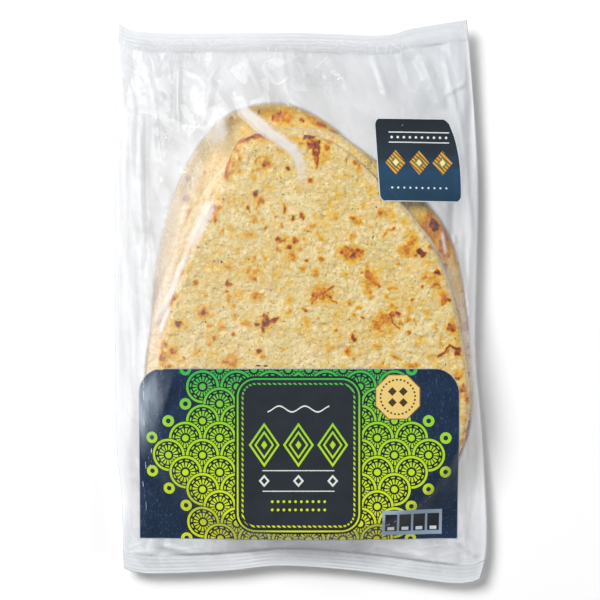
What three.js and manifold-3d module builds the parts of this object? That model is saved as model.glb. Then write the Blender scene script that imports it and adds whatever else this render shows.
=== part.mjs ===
// A clear sealed bag of four stacked teardrop flatbreads, lying on its back, in millimetres.
// +X is the bag's right, +Y points to the breads' narrow ends and +Z is up through the stack.
// The bag and its contents are one closed solid, with a printed panel and a corner label on it.

import * as THREE from 'three';
import { mergeVertices } from 'three/addons/utils/BufferGeometryUtils.js';
import Module from 'manifold-3d';

const wasm = await Module();
wasm.setup();

// The four breads, lowest first. Each outline is an egg with its narrow end towards +Y: taper
// narrows that end, a roundness below 1 squares the sides, and a bulge is a soft swelling.
// Angles are in degrees. A bulge's angle runs clockwise from the narrow end, and it grows the
// radius by a share.
const BREADS = [
  {
    centre: [2.9, -17.7], turn: 3, length: 241, width: 187, taper: 0.27, roundness: 0.84,
    bulges: [{ at: 74, grow: 0.11, spread: 16 }],
  },
  {
    centre: [-4.6, -4.4], turn: 10, length: 247, width: 170, taper: 0.2, roundness: 0.89,
    bulges: [],
  },
  {
    centre: [2, -19.7], turn: 3, length: 239, width: 183, taper: 0.27, roundness: 0.83,
    bulges: [{ at: 75, grow: 0.05, spread: 13 }],
  },
  {
    centre: [4.3, -19.8], turn: 4, length: 236, width: 174, taper: 0.32, roundness: 0.87,
    bulges: [{ at: -24, grow: 0.1, spread: 13 }, { at: 69, grow: 0.075, spread: 19 }],
  },
];
const BREAD_THICKNESS = 9.5;
const BREAD_EDGE = 9;
const OUTLINE_STEPS = 90;

// The bag's four edges seen from above. The side edges run from the bottom end to the top end,
// and the end edges from left to right.
const BAG_LEFT = [[-105, -158], [-106.5, -115], [-110, -60], [-110, 120], [-107.6, 164.7]];
const BAG_RIGHT = [
  [106, -164], [110.2, -140], [107, -72], [103.5, -25], [105, 60], [103, 110], [98.2, 167],
];
const BAG_BOTTOM = [
  [-105, -158], [-90, -161], [-44, -159.4], [-12, -156.4], [35, -159.6], [90, -166.8], [106, -164],
];
const BAG_TOP = [[-107.6, 164.7], [-88, 159.6], [0, 159.4], [48, 158], [66, 162], [98.2, 167]];

// The film's lie. The side folds and end seals hang clear of the table, and the corner at the
// upper right is bent up. Trapped air lifts the film a little between the edge and the breads.
const EDGE_HEIGHT = 11;
const CORNER_LIFT = 3;
const CORNER_SPREAD = 40;
const EDGE_THICKNESS = 1.2;
const AIR_LIFT = 0.004;
const FILM_GAP = 0.4;
const SEAL_ROWS = 2;

// The grid of the film's upper face, and the rings of its underside.
const COLUMNS = 40;
const ROWS = 60;
const RELAX_PASSES = 500;
const RELAX_GAIN = 1.6;
const UNDERSIDE_RINGS = 3;
const UNDERSIDE_SWEEP = 0.75;
const BASE_CENTRE = [0, -15];
const BASE_INSET = 5;
const BASE_TOLERANCE = 0.02;

// The printed panel over the breads' wide ends, and the label by the upper right edge.
const PANEL = { left: -95.6, right: 92.6, bottom: -140, top: -38.8, topRadius: 15, bottomRadius: 1.5 };
const LABEL_CORNERS = [
  { at: [42.9, 107.6], radius: 4 },
  { at: [45.9, 58.8], radius: 4 },
  { at: [94.7, 58.8], radius: 4 },
  { at: [94, 84], radius: 16 },
  { at: [87, 109], radius: 6 },
];
const SKIN_GAP = 0.3;
const SKIN_THICKNESS = 0.5;

const FILM_MATERIAL = { color: 0xe4ded0, roughness: 0.25, metalness: 0 };
const PRINT_MATERIAL = { color: 0x24384c, roughness: 0.35, metalness: 0 };
const LABEL_MATERIAL = { color: 0x1f3044, roughness: 0.35, metalness: 0 };

// The closed outline of one bread.
function breadOutline(bread) {
  const turn = THREE.MathUtils.degToRad(bread.turn);
  const points = [];
  for (let i = 0; i < OUTLINE_STEPS; i += 1) {
    const degrees = (360 * i) / OUTLINE_STEPS;
    const angle = THREE.MathUtils.degToRad(degrees);
    const side = Math.sin(angle);
    const along = Math.cos(angle);
    let radius = 1;
    for (const bulge of bread.bulges) {
      const off = THREE.MathUtils.euclideanModulo(degrees - bulge.at + 180, 360) - 180;
      radius += bulge.grow * Math.exp(-((off / bulge.spread) ** 2));
    }
    const half = (bread.width / 2) * Math.sign(side) * Math.abs(side) ** bread.roundness;
    const point = new THREE.Vector2(half * (1 - bread.taper * along), (bread.length / 2) * along);
    point.multiplyScalar(radius).rotateAround(new THREE.Vector2(), turn);
    points.push(point.add(new THREE.Vector2(...bread.centre)));
  }
  return points;
}

// The distance from a point to the nearest edge of an outline, above zero inside it.
function depthInside(outline, x, y) {
  let nearest = Infinity;
  let inside = false;
  for (let i = 0; i < outline.length; i += 1) {
    const a = outline[i];
    const b = outline[(i + 1) % outline.length];
    const dx = b.x - a.x;
    const dy = b.y - a.y;
    const share = THREE.MathUtils.clamp(((x - a.x) * dx + (y - a.y) * dy) / (dx * dx + dy * dy), 0, 1);
    nearest = Math.min(nearest, Math.hypot(a.x + share * dx - x, a.y + share * dy - y));
    if (a.y > y !== b.y > y && x < a.x + ((y - a.y) * dx) / dy) {
      inside = !inside;
    }
  }
  return inside ? nearest : -nearest;
}

// The height of the stack above the table, where each bread lies on those below it.
function stackHeight(outlines, x, y) {
  let height = 0;
  for (const outline of outlines) {
    const rim = 1 - THREE.MathUtils.clamp(depthInside(outline, x, y) / BREAD_EDGE, 0, 1);
    height += BREAD_THICKNESS * Math.sqrt(1 - rim ** 2);
  }
  return height;
}

// The height of the bag's edge at a place on it.
function edgeHeight(x, y) {
  const [cornerX, cornerY] = BAG_TOP[BAG_TOP.length - 1];
  const away = Math.hypot(x - cornerX, y - cornerY) / CORNER_SPREAD;
  return EDGE_HEIGHT + CORNER_LIFT * Math.exp(-(away ** 2));
}

function edgeCurve(points) {
  return new THREE.SplineCurve(points.map((point) => new THREE.Vector2(...point)));
}

// A grid of points that fills the bag's outline, blended from its four edges.
function bagGrid() {
  const left = edgeCurve(BAG_LEFT);
  const right = edgeCurve(BAG_RIGHT);
  const bottom = edgeCurve(BAG_BOTTOM);
  const top = edgeCurve(BAG_TOP);
  const grid = [];
  for (let j = 0; j <= ROWS; j += 1) {
    const v = j / ROWS;
    const row = [];
    for (let i = 0; i <= COLUMNS; i += 1) {
      const u = i / COLUMNS;
      const point = bottom.getPointAt(u).multiplyScalar(1 - v);
      point.addScaledVector(top.getPointAt(u), v);
      point.addScaledVector(left.getPointAt(v), 1 - u);
      point.addScaledVector(right.getPointAt(v), u);
      point.addScaledVector(bottom.getPointAt(0), -(1 - u) * (1 - v));
      point.addScaledVector(bottom.getPointAt(1), -u * (1 - v));
      point.addScaledVector(top.getPointAt(0), -(1 - u) * v);
      point.addScaledVector(top.getPointAt(1), -u * v);
      row.push(new THREE.Vector3(point.x, point.y, 0));
    }
    grid.push(row);
  }
  return grid;
}

// Stretches the film over the stack like a membrane: each point settles to the mean of its
// neighbours, a little lifted by the trapped air, but never lower than the breads under it.
function stretchFilm(grid, outlines) {
  const stack = grid.map((row) => row.map((point) => stackHeight(outlines, point.x, point.y) + FILM_GAP));
  for (const row of grid) {
    for (const point of row) {
      point.z = edgeHeight(point.x, point.y) + EDGE_THICKNESS / 2;
    }
  }
  for (let pass = 0; pass < RELAX_PASSES; pass += 1) {
    for (let j = SEAL_ROWS + 1; j < ROWS - SEAL_ROWS; j += 1) {
      for (let i = 1; i < COLUMNS; i += 1) {
        const around = grid[j][i - 1].z + grid[j][i + 1].z + grid[j - 1][i].z + grid[j + 1][i].z;
        const settled = around / 4 + AIR_LIFT;
        const point = grid[j][i];
        point.z = Math.max(point.z + RELAX_GAIN * (settled - point.z), stack[j][i]);
      }
    }
  }
}

// The grid's outer points in order, counterclockwise seen from above.
function gridBorder(grid) {
  const border = [];
  const rows = grid.length - 1;
  const columns = grid[0].length - 1;
  for (let i = 0; i < columns; i += 1) {
    border.push(grid[0][i]);
  }
  for (let j = 0; j < rows; j += 1) {
    border.push(grid[j][columns]);
  }
  for (let i = columns; i > 0; i -= 1) {
    border.push(grid[rows][i]);
  }
  for (let j = rows; j > 0; j -= 1) {
    border.push(grid[j][0]);
  }
  return border;
}

// Gathers triangles, each given by three points, into one closed geometry.
class Surface {
  constructor() {
    this.values = [];
  }

  triangle(a, b, c) {
    this.values.push(a.x, a.y, a.z, b.x, b.y, b.z, c.x, c.y, c.z);
  }

  quad(a, b, c, d) {
    this.triangle(a, b, c);
    this.triangle(a, c, d);
  }

  sheet(grid, facesUp) {
    for (let j = 0; j + 1 < grid.length; j += 1) {
      for (let i = 0; i + 1 < grid[j].length; i += 1) {
        const [near, far] = [grid[j][i], grid[j + 1][i + 1]];
        const [right, left] = [grid[j][i + 1], grid[j + 1][i]];
        this.quad(near, facesUp ? right : left, far, facesUp ? left : right);
      }
    }
  }

  band(upper, lower) {
    for (let k = 0; k < upper.length; k += 1) {
      const next = (k + 1) % upper.length;
      this.quad(lower[k], lower[next], upper[next], upper[k]);
    }
  }

  geometry() {
    const geometry = new THREE.BufferGeometry();
    geometry.setAttribute('position', new THREE.Float32BufferAttribute(this.values, 3));
    const merged = mergeVertices(geometry);
    merged.computeVertexNormals();
    return merged;
  }
}

// The edge of the bag's flat base, in the direction of a point on the bag's edge: just inside
// the widest bread there, where the film lifts off the table.
function basePoint(outlines, edgePoint) {
  const ray = new THREE.Vector2(edgePoint.x - BASE_CENTRE[0], edgePoint.y - BASE_CENTRE[1]);
  let reach = ray.length();
  ray.normalize();
  const at = new THREE.Vector3(edgePoint.x, edgePoint.y, 0);
  let short = Infinity;
  while (short > BASE_TOLERANCE) {
    short = BASE_INSET - Math.max(...outlines.map((outline) => depthInside(outline, at.x, at.y)));
    reach -= Math.max(short, 0);
    at.set(BASE_CENTRE[0] + reach * ray.x, BASE_CENTRE[1] + reach * ray.y, 0);
  }
  return at;
}

// The bag: the stretched film above, a thin edge, an underside that slopes in to the table, and
// a flat base under the breads.
function bagGeometry(grid, outlines) {
  const surface = new Surface();
  surface.sheet(grid, true);
  const border = gridBorder(grid);
  const base = border.map((point) => basePoint(outlines, point));
  let upper = border;
  for (let ring = 0; ring <= UNDERSIDE_RINGS; ring += 1) {
    const inward = ring / UNDERSIDE_RINGS;
    const lower = border.map((point, k) => {
      const mixed = point.clone().lerp(base[k], inward);
      mixed.z = (point.z - EDGE_THICKNESS) * (1 - inward) ** UNDERSIDE_SWEEP;
      return mixed;
    });
    surface.band(upper, lower);
    upper = lower;
  }
  for (const [a, b, c] of THREE.ShapeUtils.triangulateShape(base, [])) {
    surface.triangle(base[a], base[c], base[b]);
  }
  return surface.geometry();
}

function panelShape() {
  const { left, right, bottom, top, topRadius, bottomRadius } = PANEL;
  return roundedShape([
    { at: [left, top], radius: topRadius },
    { at: [left, bottom], radius: bottomRadius },
    { at: [right, bottom], radius: bottomRadius },
    { at: [right, top], radius: topRadius },
  ]);
}

// A closed shape with straight sides and a rounded corner at each given place.
function roundedShape(corners) {
  const shape = new THREE.Shape();
  corners.forEach((corner, k) => {
    const at = new THREE.Vector2(...corner.at);
    const before = new THREE.Vector2(...corners[(k + corners.length - 1) % corners.length].at);
    const after = new THREE.Vector2(...corners[(k + 1) % corners.length].at);
    const start = at.clone().add(before.sub(at).setLength(corner.radius));
    const end = at.clone().add(after.sub(at).setLength(corner.radius));
    if (k === 0) {
      shape.moveTo(start.x, start.y);
    } else {
      shape.lineTo(start.x, start.y);
    }
    shape.quadraticCurveTo(at.x, at.y, end.x, end.y);
  });
  shape.closePath();
  return shape;
}

function solidOf(geometry) {
  const plain = geometry.clone();
  plain.deleteAttribute('normal');
  plain.deleteAttribute('uv');
  const merged = mergeVertices(plain);
  const vertProperties = new Float32Array(merged.attributes.position.array);
  const triVerts = new Uint32Array(merged.index.array);
  return new wasm.Manifold(new wasm.Mesh({ numProp: 3, vertProperties, triVerts }));
}

function geometryOf(solid) {
  const mesh = solid.getMesh();
  const geometry = new THREE.BufferGeometry();
  geometry.setAttribute('position', new THREE.Float32BufferAttribute(mesh.vertProperties, 3));
  geometry.setIndex(new THREE.Uint32BufferAttribute(mesh.triVerts, 1));
  geometry.computeVertexNormals();
  return geometry;
}

// A thin skin that follows the film inside a shape's outline.
function skinGeometry(grid, shape) {
  const box = new THREE.Box2().setFromPoints(shape.getPoints());
  const near = (low, high, a, b) => Math.max(a, b) > low && Math.min(a, b) < high;
  const middle = Math.round(COLUMNS / 2);
  const rows = grid.filter((row, j) => {
    const other = grid[Math.min(j + 1, ROWS)][middle].y;
    const earlier = grid[Math.max(j - 1, 0)][middle].y;
    return near(box.min.y, box.max.y, other, earlier);
  });
  const inRow = (row, i) => {
    const other = row[Math.min(i + 1, COLUMNS)].x;
    const earlier = row[Math.max(i - 1, 0)].x;
    return near(box.min.x, box.max.x, other, earlier);
  };
  const patch = rows.map((row) => row.filter((point, i) => rows.some((any) => inRow(any, i))));
  const lift = (height) => patch.map((row) => row.map((p) => new THREE.Vector3(p.x, p.y, p.z + height)));
  const upper = lift(SKIN_GAP + SKIN_THICKNESS);
  const lower = lift(SKIN_GAP);
  const surface = new Surface();
  surface.sheet(upper, true);
  surface.sheet(lower, false);
  surface.band(gridBorder(upper), gridBorder(lower));
  const cutter = new THREE.ExtrudeGeometry(shape, { depth: 100, bevelEnabled: false, curveSegments: 6 });
  return geometryOf(solidOf(surface.geometry()).intersect(solidOf(cutter)));
}

function namedMesh(name, geometry, material) {
  const mesh = new THREE.Mesh(geometry, new THREE.MeshStandardMaterial(material));
  mesh.name = name;
  return mesh;
}

const outlines = BREADS.map(breadOutline);
const film = bagGrid();
stretchFilm(film, outlines);

const pack = new THREE.Group();
pack.add(namedMesh('bag', bagGeometry(film, outlines), FILM_MATERIAL));
pack.add(namedMesh('front_print', skinGeometry(film, panelShape()), PRINT_MATERIAL));
pack.add(namedMesh('corner_label', skinGeometry(film, roundedShape(LABEL_CORNERS)), LABEL_MATERIAL));

export default pack;
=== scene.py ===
"""A clear sealed bag of four stacked teardrop flatbreads, lying on its back, seen from above.

Shapes are worked out in millimetres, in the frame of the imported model, and the meshes are made
in metres. +X is the bag's right, +Y points to the breads' narrow ends and +Z is up.
"""

import bpy
import numpy as np
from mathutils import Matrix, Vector
from mathutils.bvhtree import BVHTree


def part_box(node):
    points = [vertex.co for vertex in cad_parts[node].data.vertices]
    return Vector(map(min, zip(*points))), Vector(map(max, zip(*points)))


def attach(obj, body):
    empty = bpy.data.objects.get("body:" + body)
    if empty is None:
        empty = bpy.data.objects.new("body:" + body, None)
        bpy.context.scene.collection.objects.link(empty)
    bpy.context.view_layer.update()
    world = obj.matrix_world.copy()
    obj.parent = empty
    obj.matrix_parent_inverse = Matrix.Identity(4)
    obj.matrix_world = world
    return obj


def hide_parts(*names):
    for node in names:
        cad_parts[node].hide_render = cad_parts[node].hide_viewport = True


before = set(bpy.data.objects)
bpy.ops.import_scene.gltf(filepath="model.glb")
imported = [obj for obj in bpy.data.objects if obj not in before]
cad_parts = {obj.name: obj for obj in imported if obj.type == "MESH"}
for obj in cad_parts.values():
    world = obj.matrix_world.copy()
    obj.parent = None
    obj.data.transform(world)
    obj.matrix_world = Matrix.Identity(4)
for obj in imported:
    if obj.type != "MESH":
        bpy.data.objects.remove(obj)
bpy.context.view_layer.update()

MM = 0.001

# The stack. The bag's solid is as high as the four breads and the film over them.
FILM_GAP = 0.4
STACK_BOTTOM = 0.3
BAG_LOW, BAG_HIGH = (np.array(corner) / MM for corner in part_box("bag"))
BREAD_SLACK = 0.15
BREAD_THICKNESS = (BAG_HIGH[2] - 2 * FILM_GAP) / 4 - BREAD_SLACK
BREAD_EDGE = 4.2
BREAD_UNDER_SHARE = 0.42

# How browned the breads are: the least of it, what the hidden ones have more, the most in a spot, a
# spot's halo and the most of it, a crack and its halo, and what the underside keeps.
BASE_TOAST = 0.09
BACK_WARMTH = 0.05
DARKEST_SPOT = 0.86
HALO_SHARE, MOST_HALO = 0.66, 0.33
CRACK_SHARE, CRACK_HALO = 0.88, 0.34
UNDERSIDE_TOAST = 0.8
# How much paler the front bread is painted towards its left: painted light.
FRONT_PAINTED_LIGHT = 0.18

# How a stiff bread bridges the one under it: steps that it stays level, and steps of its ramp.
BRIDGE_STEPS = (10, 50)

# The four breads, lowest first. Each outline is an egg with its narrow end towards +Y: taper
# narrows that end, a roundness below 1 squares the sides, and a bulge is an angle clockwise
# from the narrow end, a share that it adds to the radius, and a spread. The part's source has
# the two hidden breads in the other order, which gives the stack the same height.
BREADS = {
    "bread_lowest": dict(centre=(2, -19.7), turn=3, length=239, width=183, taper=0.27,
                         roundness=0.83, bulges=[(75, 0.05, 13)], cells=150),
    "bread_third": dict(centre=(-4.6, -4.4), turn=10, length=247, width=170, taper=0.2,
                        roundness=0.89, bulges=[], cells=190),
    "bread_second": dict(centre=(2.9, -17.7), turn=3, length=241, width=187, taper=0.27,
                         roundness=0.84, bulges=[(66, 0.125, 20)], cells=220),
    "bread_front": dict(centre=(4.3, -19.8), turn=4, length=236, width=174, taper=0.32,
                        roundness=0.87, bulges=[(-24, 0.1, 13), (69, 0.075, 19)], cells=280),
}

# The browned spots that show: x, y, radius and how brown, from 0.3 for gold to 1 for char, and for a
# long one its stretch and the turn of its length.
FRONT_SPOTS = [
    (-24.3, 83.9, 1.3, 0.42), (-26.5, 82, 1.2, 0.5), (-20.4, 82, 3.2, 0.5), (-22.4, 80, 1.6, 0.9),
    (-27.7, 77.3, 1.3, 0.4), (-24.8, 77.6, 0.9, 0.55), (-20.6, 75.6, 1.5, 0.42), (-28.9, 74.9, 1.2, 0.36),
    (-7.6, 78.1, 1.4, 0.84), (-11.8, 73.2, 0.9, 0.6), (5.9, 70.7, 2.1, 0.66), (-35.6, 84.2, 1.1, 0.62),
    (-35.6, 76.1, 1.5, 0.42), (-40, 82.4, 2.9, 0.46), (-40.6, 76.5, 2.4, 0.5), (-37.6, 88.2, 2.6, 0.5),
    (5.4, 96.8, 2, 1.05, 2, 0), (2.7, 96.5, 1.5, 0.95), (7.1, 92.9, 3.2, 0.62), (9.4, 91.2, 2.5, 0.72),
    (9.1, 86.5, 1.5, 0.75, 1.6, 80), (15.4, 90.3, 1.9, 0.6), (13.5, 85.9, 3.2, 0.4),
    (12.5, 82.9, 2.4, 0.36), (17.1, 94.1, 2.9, 0.42), (-0.6, 93.5, 2.4, 0.4), (-2.9, 95.9, 1.8, 0.42),
    (-27.2, 62.9, 1.6, 0.8, 1.7, 105), (-24.1, 58.8, 1.3, 0.5, 2, 20), (-38.5, 58.5, 1.1, 0.4, 2, 120),
    (-34.6, 58.2, 1.4, 0.4, 1.5, 150), (-31.5, 54.1, 1.2, 0.66), (-37.3, 53.5, 0.8, 0.45),
    (-10.3, 54.1, 1.4, 0.74, 1.8, 100), (-4.7, 49.6, 1.4, 0.76), (1.2, 50.6, 1.6, 0.6, 1.3, 90),
    (-14.2, 50.1, 0.8, 0.5), (-27.2, 47.6, 1.1, 0.52, 1.8, 105), (-23.3, 47.4, 1.3, 0.38),
    (-49.4, 61.2, 1.8, 0.4), (-48.8, 55.9, 2.6, 0.5), (-51.2, 56, 1.1, 0.75), (-50.3, 50.6, 2.4, 0.48),
    (-50.3, 48.2, 1.2, 0.68), (-54.7, 47.6, 1.3, 0.56), (-46.8, 41.3, 1.4, 0.55), (-41.5, 43.2, 2.6, 0.34),
    (-40.9, 38.4, 0.9, 0.5), (-20.6, 43.2, 1.2, 0.66), (-11.3, 44.9, 0.7, 0.6),
    (-30.6, 38.8, 2.7, 0.4, 1.7, 10), (-30.6, 38.4, 0.6, 0.6), (-13, 36.1, 1.5, 0.76, 1.5, 150),
    (-10, 38.2, 1.9, 0.38), (-7.6, 32, 1.8, 0.86), (-4.2, 35.4, 2.1, 0.6), (-5.9, 33.5, 3.1, 0.48),
    (-3.7, 29.5, 0.9, 0.66), (-0.5, 30, 1, 0.44), (-13, 31, 1.1, 0.74), (6.4, 44.9, 1.8, 0.42),
    (4.1, 41.3, 0.9, 0.55, 2.6, 160), (1.2, 37.4, 1, 0.5), (11.5, 38.2, 0.9, 0.42, 3.5, 135),
    (-47.4, 29.3, 1.2, 0.4, 1.6, 25), (-60.4, 32.8, 1.4, 0.64), (-27.2, 25.6, 1.6, 0.42),
    (-21.4, 26.1, 1.2, 0.5, 1.7, 100), (-5.2, 26.1, 2.9, 0.52), (1.4, 49.1, 1.4, 0.58),
    (30.4, 49.4, 1.9, 0.54), (33.2, 46.8, 2.4, 0.46), (46.5, 52.5, 2.1, 0.5), (49.8, 52, 2.8, 0.4),
    (52.9, 48.8, 2.4, 0.32), (20.4, 49.4, 1.9, 0.36), (49.4, 39.2, 1.5, 0.42),
    (52.6, 42.1, 0.9, 0.52, 2.4, 15), (30.1, 38.2, 1.5, 0.42), (60.6, 47.1, 2.9, 0.3),
    (30.1, 35.9, 0.7, 0.5), (29.7, 28.2, 4.4, 0.55, 1.5, 0), (29.7, 27.9, 2, 0.95), (25, 28.5, 2, 0.66),
    (32.9, 30.6, 1.5, 0.66), (33.8, 27.1, 1.5, 0.6), (27.6, 31.2, 1.8, 0.62), (27.1, 25.3, 1.5, 0.55),
    (12.1, 25.4, 1.3, 0.5, 1.5, 0), (3.3, 23.5, 0.9, 0.6), (64.1, 34.7, 3.2, 0.5), (61.5, 30.3, 3.2, 0.48),
    (65.3, 30.6, 2.9, 0.52), (69.3, 29.7, 2.2, 1), (70.9, 28.5, 1.9, 0.98), (67.1, 27.1, 1.4, 0.6),
    (64.1, 38.5, 2.4, 0.4), (56.2, 22.1, 1.2, 0.42), (8.2, 18.2, 1.8, 0.42), (8.5, 15.9, 1.9, 0.42),
    (0.9, 19.2, 1.8, 0.54), (35.1, 16.8, 1.3, 0.6), (39.4, 15.6, 3.5, 0.5), (43.2, 12.1, 2.7, 0.52),
    (40, 12.4, 2.9, 0.46), (45.3, 10.6, 1.4, 0.6), (39.1, 6.2, 2.1, 0.46), (38.2, 9.4, 1.8, 0.4),
    (54.1, 7.8, 1.3, 0.42, 2.6, 0), (50.4, 3.5, 1.8, 0.4), (65, 1.8, 1.1, 0.66),
    (62.9, -2.6, 2.1, 0.4, 1.3, 100), (12.4, 4.7, 4.7, 0.42, 1.4, 20), (7.9, 4.4, 2, 0.62),
    (14.1, 6.5, 1.8, 0.6), (6.5, 1.2, 1.8, 0.5), (16.5, 1.2, 2.4, 0.36), (2.8, -4.7, 1.1, 0.64, 1.4, 160),
    (28.5, -0.5, 1, 0.5, 2.4, 12), (31.2, -7.5, 1.5, 0.54), (35.6, -9.2, 1.4, 0.66), (34, -3, 1.1, 0.44),
    (52.1, -7.8, 1.8, 0.72), (55.6, -7.2, 1.8, 0.6), (53.5, -3.5, 2.4, 0.42), (48.2, -10.3, 3.2, 0.52),
    (44.7, -13.2, 3.2, 0.54), (44.6, -13.6, 1.5, 0.66), (42.9, -10.8, 1.1, 0.66), (51.5, -13.1, 2.4, 0.44),
    (46.7, -16.8, 3.5, 0.34), (52.4, -11.2, 2.4, 0.52), (57.8, -12, 1.4, 0.62), (61.8, -9.8, 1, 0.56),
    (71.6, 8.9, 1.4, 0.62), (72.6, 14.9, 2.5, 0.42), (76.5, 14.1, 3.5, 0.4), (80, 17.1, 1.9, 0.84),
    (77.9, 10, 2.5, 0.44), (77.1, 8.6, 1.1, 0.6), (73.8, -6.2, 1.9, 0.38), (2.9, -11.8, 2.6, 0.4),
    (10, -9.7, 0.8, 0.5), (83.2, 2.8, 3.3, 0.56), (86.4, 1.5, 1.2, 0.74), (82.6, -0.4, 1.6, 0.64),
    (62, -18.1, 1.1, 0.6), (30, -20.5, 1.8, 0.94, 1.2, 110), (27.6, -28.4, 2.9, 0.5),
    (29.8, -33.2, 0.8, 0.56), (20.5, -16.8, 0.8, 0.56), (77.9, -14.6, 1.5, 0.42), (88.5, -15.7, 3.2, 0.6),
    (86.9, -13.6, 1.3, 0.74), (89.1, -17.4, 1.3, 0.74), (85.8, -28.9, 1.8, 0.5), (91.6, -28.7, 2.6, 1),
    (89.5, -26.3, 1.3, 0.9), (55.1, -31.6, 1.3, 0.42, 2, 160), (46.7, -37.9, 1.4, 0.36, 3, 0),
    (64.6, -37.4, 1.4, 0.5, 3, 0), (26.8, 16, 2.4, 0.32), (-42.4, 20.8, 2.9, 0.42),
    (-50.8, 20.8, 2.4, 0.34), (-27.6, 24.9, 1.6, 0.46), (-61.8, 11.4, 1.3, 0.55, 1.8, 55),
    (-67.6, 23.4, 1.6, 0.6, 1.5, 65), (-71, 16.5, 1.5, 0.5, 2, 65), (-28.6, 16.9, 3.1, 0.44, 1.4, 0),
    (-26.9, 13.1, 1.3, 0.66), (-42.8, 11.2, 1.8, 0.84, 1.2, 90), (-44.1, 6.4, 1, 0.62),
    (-42.1, 2, 1.5, 0.46, 2, 100), (-25.8, 3.9, 2.9, 0.48), (-36.8, 4.9, 3.5, 0.3),
    (-56.8, -5.9, 3.8, 0.42), (-56.8, -5.9, 1.6, 0.72), (-71.8, -11.8, 2.1, 1), (-70.6, -12.9, 3.5, 0.36),
    (-67.6, -15.9, 1.8, 0.42), (-53.5, -13.9, 1.8, 0.46), (-46.5, -14.4, 2.4, 0.42),
    (-32, -11.8, 2.4, 0.44), (-20, -8.7, 1.6, 0.88, 1.4, 110), (-15.5, -10.8, 1.8, 0.86, 1.6, 10),
    (-18.5, -11.5, 1.4, 0.8), (-21.6, -13.5, 1.9, 0.86), (-25.4, -13.8, 1.4, 0.8, 1.6, 0),
    (-22.1, -16, 1.3, 0.84, 1.4, 80), (-20, -11.8, 3.8, 0.56), (-39.2, -2.6, 1.1, 0.48),
    (-39.2, -18.7, 1.1, 0.62), (-50.8, -21.6, 2, 0.44), (-50.8, -21.2, 0.9, 0.66),
    (-75.1, -29.1, 1.8, 0.66), (-75.3, -28.8, 3.2, 0.42), (-80.2, -31.2, 1.9, 0.62, 1.8, 80),
    (-24.1, -29.4, 1.9, 0.82), (-22.6, -32.5, 1.5, 0.44), (-44.1, -35.3, 2.6, 0.56),
    (-40, -35.9, 2.4, 0.56), (-41.8, -34.7, 3.5, 0.46, 1.5, 0), (-60.4, -30, 2.5, 0.34),
    (-68.2, -33.2, 0.8, 0.56), (-79.4, -25.3, 1.4, 0.6, 2, 100), (-77.1, -37.1, 1.8, 0.54),
    (-74.4, 2.4, 1.3, 0.6, 2, 65), (-76.5, -5.9, 1.2, 0.56, 2, 60), (-46.5, -41.2, 2.4, 0.4),
    (-10.6, 36.5, 1.2, 0.6), (-6.5, 1.2, 2.4, 0.32), (-0.6, -16.5, 2.9, 0.3), (17.1, -25.3, 2.9, 0.3),
    (44.1, -25.3, 2.4, 0.32), (70, -22.4, 2.4, 0.34), (20.6, -7.6, 2.4, 0.3), (-14.7, 15.9, 2.6, 0.32),
    (-35.9, 30.6, 2.4, 0.3), (22.9, 62.9, 2.9, 0.3), (40.6, 65.9, 2.4, 0.32), (25.9, 72.9, 1.8, 0.34),
    (53.5, 60, 1.8, 0.36), (33.4, 77.9, 2.4, 0.44), (31.4, 80.9, 1.5, 0.55), (26.9, 82.6, 0.8, 0.55),
    (26.9, 80.9, 0.7, 0.5), (-0.6, 65.9, 2.4, 0.3), (17.1, 57.1, 2.4, 0.3),
    (-16.2, 92.8, 1.2, 0.4, 1.6, 150), (-11.5, 87.4, 0.9, 0.42), (-10, 88.2, 1.8, 0.3),
    (-18.2, 65.9, 2.4, 0.3), (35.9, 55.3, 1.8, 0.34), (74.7, 23.5, 2.4, 0.36), (80, 7.1, 1.8, 0.38),
]
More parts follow.
